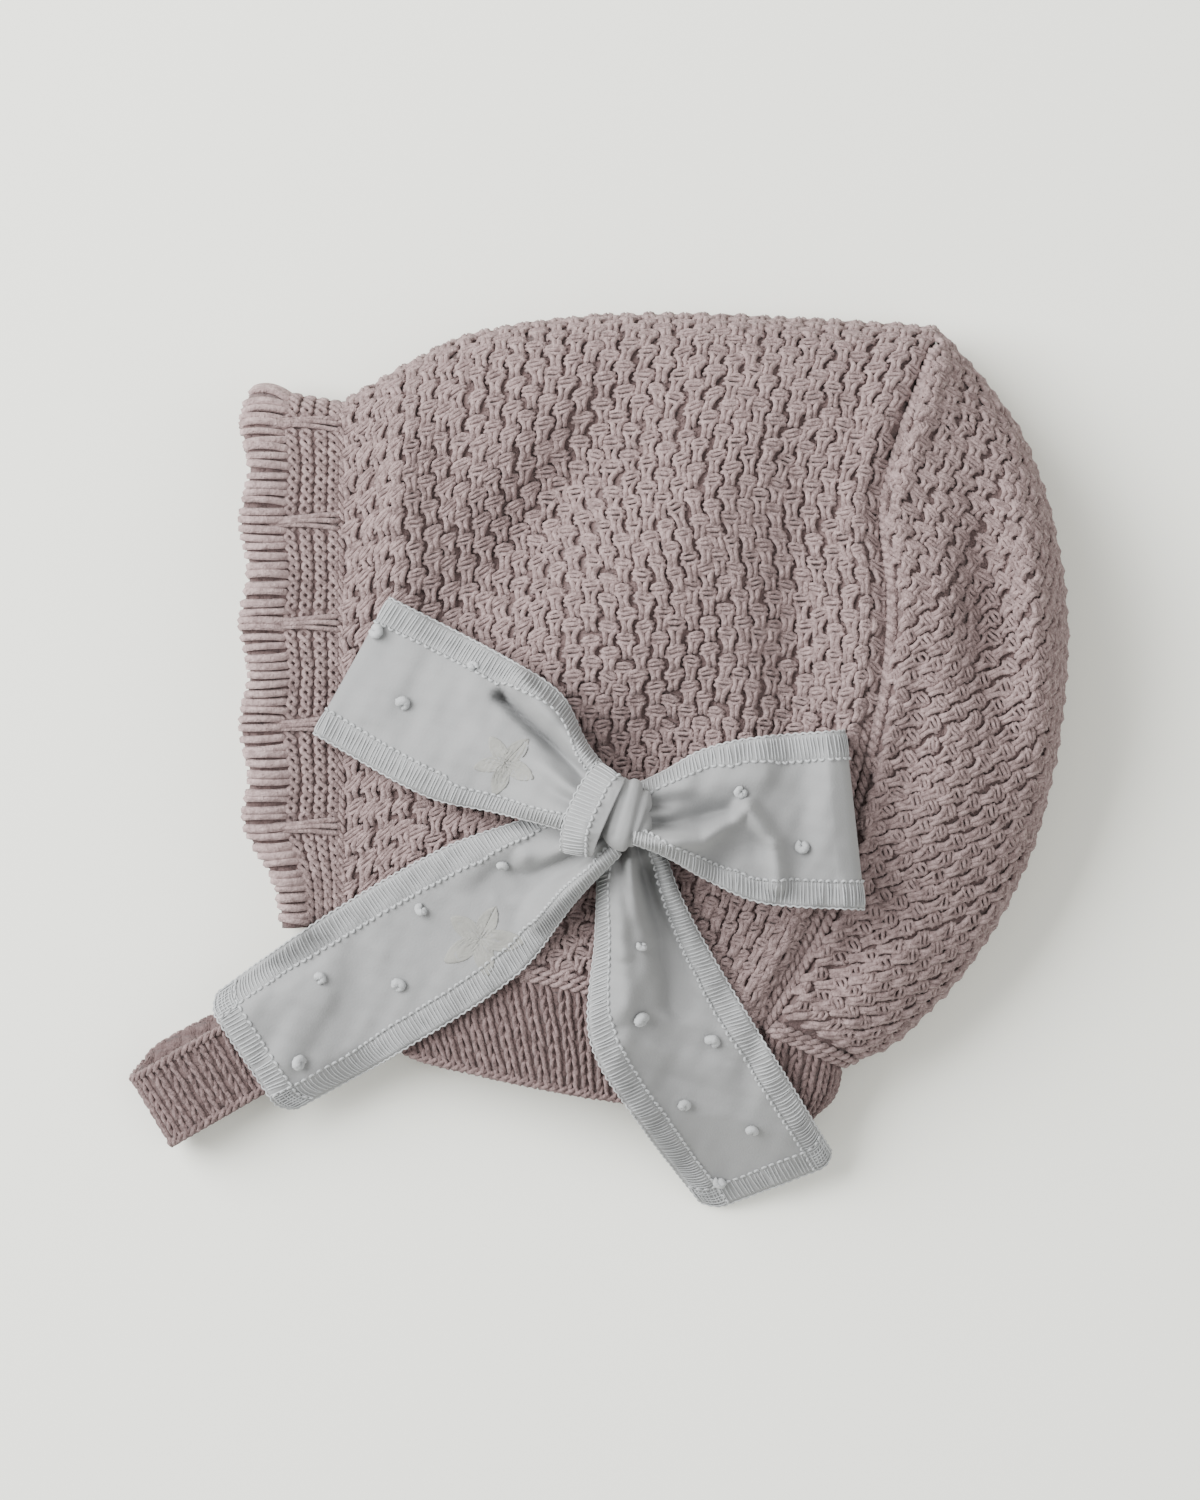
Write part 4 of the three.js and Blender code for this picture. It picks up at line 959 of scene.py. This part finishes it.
def drape_over(top):
    """What a ribbon rests on: the top, falling no more steeply than cloth hangs, and smoothed."""
    closed = np.max([moved for away, moved in neighbours(top)], axis=0)
    hung = closed
    for _ in range(45):
        hung = np.max([moved - drape_slope * away for away, moved in neighbours(hung)], axis=0)
    for _ in range(3):
        hung = np.mean([moved for away, moved in neighbours(hung)], axis=0)
    return np.maximum(hung, closed)


def rest_at(rest, plan):
    size = np.array(rest.shape) - 1
    u, v = np.moveaxis((plan - plan_low) / size, -1, 0)
    return read_grid(rest[..., None], u, v)[..., 0]


def ribbon_plan(ribbon, along, across):
    """A place in plan, along from the knot and across from -1, the left edge, to 1, the right."""
    c, s = way_of(ribbon["turn"])
    start = 1 / math.hypot(c / (knot_width / 2), s / (knot_length / 2)) - 1.6
    length = ribbon["length"] * (1 - ribbon.get("slant", 0) * (1 - across) / 2)
    reach = start + along * (length - start)
    left, right = smooth_at(ribbon["left"], along), smooth_at(ribbon["right"], along)
    aside = ((left + right) * (across + 1) / 2 - left) * ribbon_width
    return knot_at + np.stack([reach * c + aside * s, reach * s - aside * c], -1)


def crease_lift(ribbon, plan):
    """How far the cloth stands up in its creases and swells, and in the small waves between."""
    x, y = plan[..., 0], plan[..., 1]
    lift = 0.32 * np.sin(0.62 * x + 0.31 * y) * np.sin(0.23 * x - 0.5 * y + 1)
    lift = lift + 0.16 * np.sin(1.3 * y - 0.4 * x + 2) * np.sin(0.9 * x + 0.5 * y)
    ridge, dip = 0 * x, 0 * x
    for start, end, width, height in ribbon["creases"]:
        start, way = knot_at + start, np.subtract(end, start)
        share = np.clip(((plan - start) @ way) / (way @ way), 0, 1)
        away = np.linalg.norm(plan - start - share[..., None] * way, axis=-1)
        crease = 1.4 * height * bell(away / width)
        ridge, dip = np.maximum(ridge, crease), np.minimum(dip, crease)
    for middle, width, height in ribbon.get("swells", []):
        away = np.linalg.norm(plan - knot_at - middle, axis=-1)
        lift = lift + height * bell(away / width)
    return lift + ridge + dip


def pleats(along, across):
    """The gathers that the knot makes, which die away along the cloth."""
    deep = 1.7 * pleat_depth * (1 - ease(along, 0, 0.42))
    return deep * np.cos(3 * np.pi * (across + 0.07 * np.sin(5 * across)))


def clear_of(rest, z, gap=0.45):
    """Keeps a height over what lies below, easing into it."""
    return rest + gap + np.logaddexp(0, (z - rest - gap) * 3) / 3


def facing_up(points):
    """The cloth's normals, which face up where it is last seen from above."""
    normals = normals_of(points)
    return normals * np.sign(normals[-len(normals) // 4, len(normals[0]) // 2, 2])


columns = np.linspace(-1, 1, 43)


def tail_cloth(ribbon, rest):
    """A tail, which lies over what is under it and hangs down past its edge."""
    along, across = np.linspace(0, 1, 104)[:, None], columns[None]
    corner = 0.03 * (np.maximum(np.abs(across) - 0.72, 0) / 0.28) ** 2.2
    along = along * (1 - corner * ease(along, 0.5, 1))
    plan = ribbon_plan(ribbon, along, across)
    below = rest_at(rest, plan)
    lift = 2.4 * (1 - ease(along, 0, 0.3)) + 1.2 * pleat_depth * (1 - ease(along, 0, 0.5))
    z = below + ribbon_rise + lift + pleats(along, across) + crease_lift(ribbon, plan)
    return np.concatenate([plan, clear_of(below, z)[..., None]], -1)


def loop_cloth(ribbon, rest):
    """A loop: out along the knit, round its end fold and back over itself."""
    fold = ribbon["fold"]
    fold_share = fold / ribbon["length"]
    along, across = np.linspace(0, 1 - fold_share, 62)[:, None], columns[None]
    plan = ribbon_plan(ribbon, along, across)
    below = rest_at(rest, plan)
    z = below + ribbon_rise + 1.4 * (1 - ease(along, 0, 0.5))
    low = clear_of(below, z + 0.35 * pleats(along, across))
    turn = np.linspace(-0.5, 0.5, 13)[1:-1, None] * np.pi
    bend_plan = ribbon_plan(ribbon, 1 - fold_share + np.cos(turn) * fold_share, across)
    bend = low[-1] + fold * (1 + np.sin(turn))
    arch = ribbon["puff"] * np.sin(np.pi * (0.12 + 0.88 * along ** ribbon["peak"]))
    arch = arch * (1 - 0.3 * along) * (1 - 0.45 * np.abs(across) ** 3)
    folds = (crease_lift(ribbon, plan) + pleats(along, across)) * (1 - ease(along, 0.85, 1))
    open_up = 0.3 + 0.7 * ease(along, 0, 0.28)
    high = clear_of(low, low + (2 * fold + arch + folds) * open_up, 0.6)
    lower = np.concatenate([plan, low[..., None]], -1)
    bend = np.concatenate([bend_plan, bend[..., None]], -1)
    upper = np.concatenate([plan, high[..., None]], -1)
    return np.concatenate([lower, bend, upper[::-1]])


ribbon_finish = dict(
    surface={"Roughness": 0.85, "Specular IOR Level": 0.2, "Sheen Weight": 0.15},
    drift={"Scale": 160, "Detail": 3},
    spread={},
    fibres={"Scale": 2600, "Detail": 2},
    bump={"Strength": 0.25, "Distance": 0.3 * MM},
)


def ribbon_cotton(name, colour):
    pale, deep = (tuple(share * c for c in colour) for share in (1.06, 0.9))
    return cotton(name, pale, deep, ribbon_finish)


white_cotton = ribbon_cotton("white_ribbon_cotton", (0.272, 0.276, 0.279))
white_thread = ribbon_cotton("white_overlock_thread", (0.41, 0.422, 0.43))
cream_thread = ribbon_cotton("cream_star_thread", (0.274, 0.274, 0.256))

thread_pitch = 1.55
thread_radius = 0.16
overlock_width = 5


def overlock(grid, normals, seed):
    """Overlocking along the first column of a grid: threads across the edge, held by a chain."""
    wild = np.random.default_rng(seed)
    rows = len(grid)
    run = run_along(grid[:, 0])
    widths = np.linalg.norm(np.diff(grid, axis=1), axis=2).sum(1)
    count = int(run[-1] / thread_pitch)
    pitch = run[-1] / count
    at = (np.arange(count)[:, None] + 0.5) * pitch + wild.normal(0, 0.06, (count, 1))
    fine = (np.arange(2 * count)[:, None] + 0.5) * pitch / 2 + wild.normal(0, 0.07, (2 * count, 1))

    def laid(at, inset, lift):
        """Places along the edge, in from it and up from the cloth."""
        at, inset, lift = np.broadcast_arrays(at, inset, lift)
        share = np.interp(at, run, np.linspace(0, 1, rows))
        width = np.interp(share, np.linspace(0, 1, rows), widths)
        across = inset / width
        normal = unit(read_grid(normals, share, across))
        outward = unit(read_grid(grid, share, 0 * across) - read_grid(grid, share, 0 * across + 0.03))
        points = read_grid(grid, share, across) + lift[..., None] * normal
        return points + np.maximum(-inset, 0)[..., None] * outward, normal

    share = np.linspace(0, 1, 6)
    inset = overlock_width * (1 - share) * (1 + wild.normal(0, 0.04, (2 * count, 1))) - 0.25 * share
    lift = np.array([0.12, 0.28, 0.32, 0.32, 0.28, -0.1])
    slant = wild.normal(0.3, 0.15, (2 * count, 1)) * share
    lines, ups = laid(fine + slant, inset, lift)
    parts = [yarn(lines, ups, thread_radius, 4)]
    share = np.linspace(-0.5, 0.5, 6)
    lines, ups = laid(
        at + share * pitch * 0.62,
        overlock_width + 0.35 * np.cos(np.pi * share),
        0.16 + 0.3 * np.cos(np.pi * share),
    )
    parts.append(yarn(lines, ups, 0.27))
    along = np.linspace(0, run[-1], count * 6)
    lines, ups = laid(along, -0.22 + 0.16 * np.sin(2 * np.pi * along / pitch), 0.06)
    parts.append(yarn(lines[None], ups[None], 0.2))
    return parts


def spot_on(grid, normals, plan):
    """The place on the upper part of a cloth over a point in plan, and the way that it faces."""
    flat, facing = grid.reshape(-1, 3), normals.reshape(-1, 3)
    near = np.linalg.norm(flat[:, :2] - plan, axis=1) - 0.2 * flat[:, 2]
    k = near.argmin()
    return flat[k], facing[k]


def tuft(grid, normals, plan, rng):
    """A tufted dot: the thick thread goes round once, over its own start, and its end sticks out."""
    foot, up = spot_on(grid, normals, plan)
    side = unit(np.cross(up, [0.3, 1, 0]))
    ahead = np.cross(up, side)
    size = rng.uniform(0.85, 1.25)
    turns = np.linspace(0, 1, 22)
    angle = rng.uniform(0, 6.28) + turns * 2 * np.pi * rng.uniform(0.7, 1.15)
    reach = size * (0.95 - rng.uniform(0.6, 0.85) * turns) + 0.1 * np.sin(9 * turns)
    x, y = reach * np.cos(angle), reach * np.sin(angle) * rng.uniform(0.65, 1)
    lift = size * (0.3 + 0.8 * np.sin(np.pi * (0.1 + 0.8 * turns)))
    line = foot + x[:, None] * side + y[:, None] * ahead + lift[:, None] * up
    thick = size * (0.52 + 0.26 * np.sin(np.pi * turns) + 0.05 * rng.normal(size=22))
    return yarn(line[None], np.broadcast_to(up, line.shape)[None], thick[None], 7)


def star(grid, normals, plan, arms):
    """A woven star: raised cream threads that fill its five arms, given as degrees and lengths."""
    way, reach = np.radians([a for a, _ in arms]), np.array([r for _, r in arms])
    gap = (np.roll(way, -1) - way) % (2 * np.pi)
    angles = np.stack([way, way + gap / 2], 1).ravel()
    reaches = np.stack([reach, 0.2 * (reach + np.roll(reach, -1))], 1).ravel()
    angles, reaches = np.append(angles, angles[0] + 2 * np.pi), np.append(reaches, reaches[0])
    around = np.linspace(angles[0], angles[-1], 81)
    edge = np.interp(around, angles, reaches)
    share = np.linspace(0.02, 1, 14)[:, None]
    x, y = share * edge * np.cos(around), share * edge * np.sin(around)
    lift = 0.3 + 0.12 * np.sin(9 * x) * np.sin(8 * y) * (1 - share**4)
    points = np.zeros((*x.shape, 3))
    for index in np.ndindex(x.shape):
        at = np.add(plan, [x[index], y[index]])
        foot, up = spot_on(grid, normals, at)
        points[index] = [*at, foot[2] + lift[index]]
    return wall(points, points - [0, 0, 0.6])


# Where the tufted dots and the middles of the stars show, in plan, and each star's arms: turn in
# degrees and length
dots = dict(
    bow_tail_back=[(7.4, -52), (21.6, -57), (16, -70), (29.6, -74.4), (23.6, -85.4), (8, -38)],
    bow_tail_front=[(-55.4, -44.6), (-40, -46.4), (-35, -31.2), (-19, -22), (-60, -62)],
    bow_loop_back=[(39.6, -18.4), (27, -8)],
    bow_loop_front=[(-38.8, 9.6), (-24.4, 15.6), (-43.4, 23.6)],
)
stars = dict(
    bow_tail_front=((-23.6, -37), [(63, 7.2), (143, 7.3), (214, 8.7), (282, 7.8), (356, 9.2)]),
    bow_loop_front=((-18.4, -2.4), [(45, 6.5), (120, 6), (190, 6.5), (250, 7), (330, 6.5)]),
)
trim_top = trim_place(np.linspace(0, 1, 600)[:, None], np.linspace(0, 1, 40)[None])[0]
rest = top_of([band.points, panel.points, trim_top, neck_strip.points, strap_strip.points])
tuft_rng = np.random.default_rng(4)

for name, ribbon, shape in (
    ("bow_tail_back", tail_back, tail_cloth),
    ("bow_tail_front", tail_front, tail_cloth),
    ("bow_loop_back", loop_back, loop_cloth),
    ("bow_loop_front", loop_front, loop_cloth),
):
    cloth = shape(ribbon, drape_over(rest))
    normals = facing_up(cloth)
    over, under = cloth + cloth_wall / 2 * normals, cloth - cloth_wall / 2 * normals
    sheet = make_piece(f"{name}_cloth", [wall(over, under)], white_cotton, [name])
    edges = overlock(cloth, normals, 1) + overlock(cloth[:, ::-1], normals[:, ::-1], 2)
    if shape is tail_cloth:
        turned, turned_normals = cloth.swapaxes(0, 1)[:, ::-1], normals.swapaxes(0, 1)[:, ::-1]
        edges += overlock(turned, turned_normals, 3)
    edges += [tuft(cloth, normals, dot, tuft_rng) for dot in dots[name]]
    threads = make_piece(f"{name}_threads", edges, white_thread, [name])
    if name in stars:
        patch = star(cloth, normals, *stars[name])
        make_piece(f"{name}_star", [patch], cream_thread, [name])
    rest = np.maximum(rest, top_of([over]))

# The bow's knot
# The same ribbon, gathered and wound once round the middle of the loops and the tails. Its
# overlocked edge lies over the root of the front loop.

knot_rest = float(rest_at(rest, knot_at + np.array([[-5, 2], [5, -1]])).max())
knot_middle = np.array([knot_at[0] + 1.5, knot_at[1] + 0.6, knot_rest - 1.9])
around, over = np.linspace(0, 2 * np.pi, 73)[:-1, None], np.linspace(0.03, np.pi - 0.03, 64)[None]
x = np.sin(over) * np.cos(around)
z = np.sin(over) * np.sin(around)
y = np.cos(over) + 0 * around
waist = 1.22 - 0.12 * np.cos(np.pi * y)
knot_points = np.stack([x * waist * knot_width, y * knot_length, z * waist * knot_height], -1) / 2
for start, end, width, depth in (
    ((3.6, 5.5), (0.6, -7), 0.7, 0.7),
    ((0.6, 7), (-2.6, -4), 0.6, 0.4),
    ((4.6, 0.5), (1.8, -6.5), 0.6, 0.7),
):
    way = np.subtract(end, start)
    share = np.clip(((knot_points[..., :2] - start) @ way) / (way @ way), 0, 1)
    away = np.linalg.norm(knot_points[..., :2] - start - share[..., None] * way, axis=-1)
    knot_points *= (1 - depth / 4.5 * bell(away / width))[..., None]
knot_points += knot_middle
ring = np.arange(knot_points.shape[0] * knot_points.shape[1]).reshape(knot_points.shape[:2])
after = np.roll(ring, -1, 0)
quads = np.stack([ring[:, :-1], ring[:, 1:], after[:, 1:], after[:, :-1]], -1).reshape(-1, 4)
knot_faces = [quads, ring[:, 0][None], ring[::-1, -1][None]]

# The wound end beside the knot, along places in plan from the knot
rest = np.maximum(rest, top_of([knot_points]))
wrap_line = smooth_line([(-1.2, 9), (-3.4, 5.6), (-5.6, 1.2), (-7.2, -3), (-8, -7)], 60)
across = np.linspace(-1, 1, 25)[None, :, None]
wrap_way = unit(np.gradient(wrap_line, axis=0))
wrap_side = np.stack([-wrap_way[:, 1], wrap_way[:, 0]], -1)
wrap_half = 3.7 * (1 - 0.2 * np.linspace(-1, 1, 60) ** 2)[:, None, None]
wrap_plan = knot_at + wrap_line[:, None] + wrap_half * across * wrap_side[:, None]
ends_down = 2.5 * np.linspace(-1, 1, 60)[:, None] ** 6
wrap_height = rest_at(drape_over(rest), wrap_plan) + 0.6 - ends_down
wrap = np.concatenate([wrap_plan, wrap_height[..., None]], -1)
wrap_normals = facing_up(wrap)
wound_end = wall(wrap + cloth_wall / 2 * wrap_normals, wrap - cloth_wall / 2 * wrap_normals)
knot_parts = [(knot_points, knot_faces), wound_end]
make_piece("bow_knot_cloth", knot_parts, white_cotton, ["bow_knot"])
wrap_edge = overlock(wrap, wrap_normals, 7)
make_piece("bow_knot_threads", wrap_edge, white_thread, ["bow_knot"])

# The floor, the light and the camera
# The bonnet lies on a plain pale surface under soft light from the upper left, seen from above.

floor_mesh = bpy.data.meshes.new("floor")
floor_corners = [(-3, -3, 0), (3, -3, 0), (3, 3, 0), (-3, 3, 0)]
floor_mesh.from_pydata(floor_corners, [], [(0, 1, 2, 3)])
floor = bpy.data.objects.new("floor", floor_mesh)
bpy.context.scene.collection.objects.link(floor)
pale = bpy.data.materials.new("pale_floor")
pale.use_nodes = True
pale_shader = pale.node_tree.nodes["Principled BSDF"]
pale_shader.inputs["Base Color"].default_value = (0.95, 0.962, 0.885, 1)
pale_shader.inputs["Roughness"].default_value = 0.9
floor_mesh.materials.append(pale)

for light_name, place, size, power in (
    ("window_light", (-1.05, 0.5, 0.95), 1.2, 63),
    ("fill_light", (0.8, -0.1, 1.3), 1.6, 9),
):
    light = bpy.data.lights.new(light_name, "AREA")
    light.size = size
    light.energy = power
    lamp = bpy.data.objects.new(light_name, light)
    lamp.location = place
    lamp.rotation_euler = (-Vector(place)).to_track_quat("-Z", "Y").to_euler()
    bpy.context.scene.collection.objects.link(lamp)

world = bpy.data.worlds.new("soft_room")
world.use_nodes = True
sky = world.node_tree.nodes["Background"]
sky.inputs["Color"].default_value = (1, 0.985, 0.95, 1)
sky.inputs["Strength"].default_value = 0.72
bpy.context.scene.world = world

camera_height = 1.3
frame_height = 0.3  # what the picture's height covers on the floor
camera = bpy.data.cameras.new("camera")
camera.sensor_width = 36
camera.lens = 36 * camera_height / frame_height
viewpoint = bpy.data.objects.new("camera", camera)
viewpoint.location = (0, 0, camera_height)
bpy.context.scene.collection.objects.link(viewpoint)
bpy.context.scene.camera = viewpoint
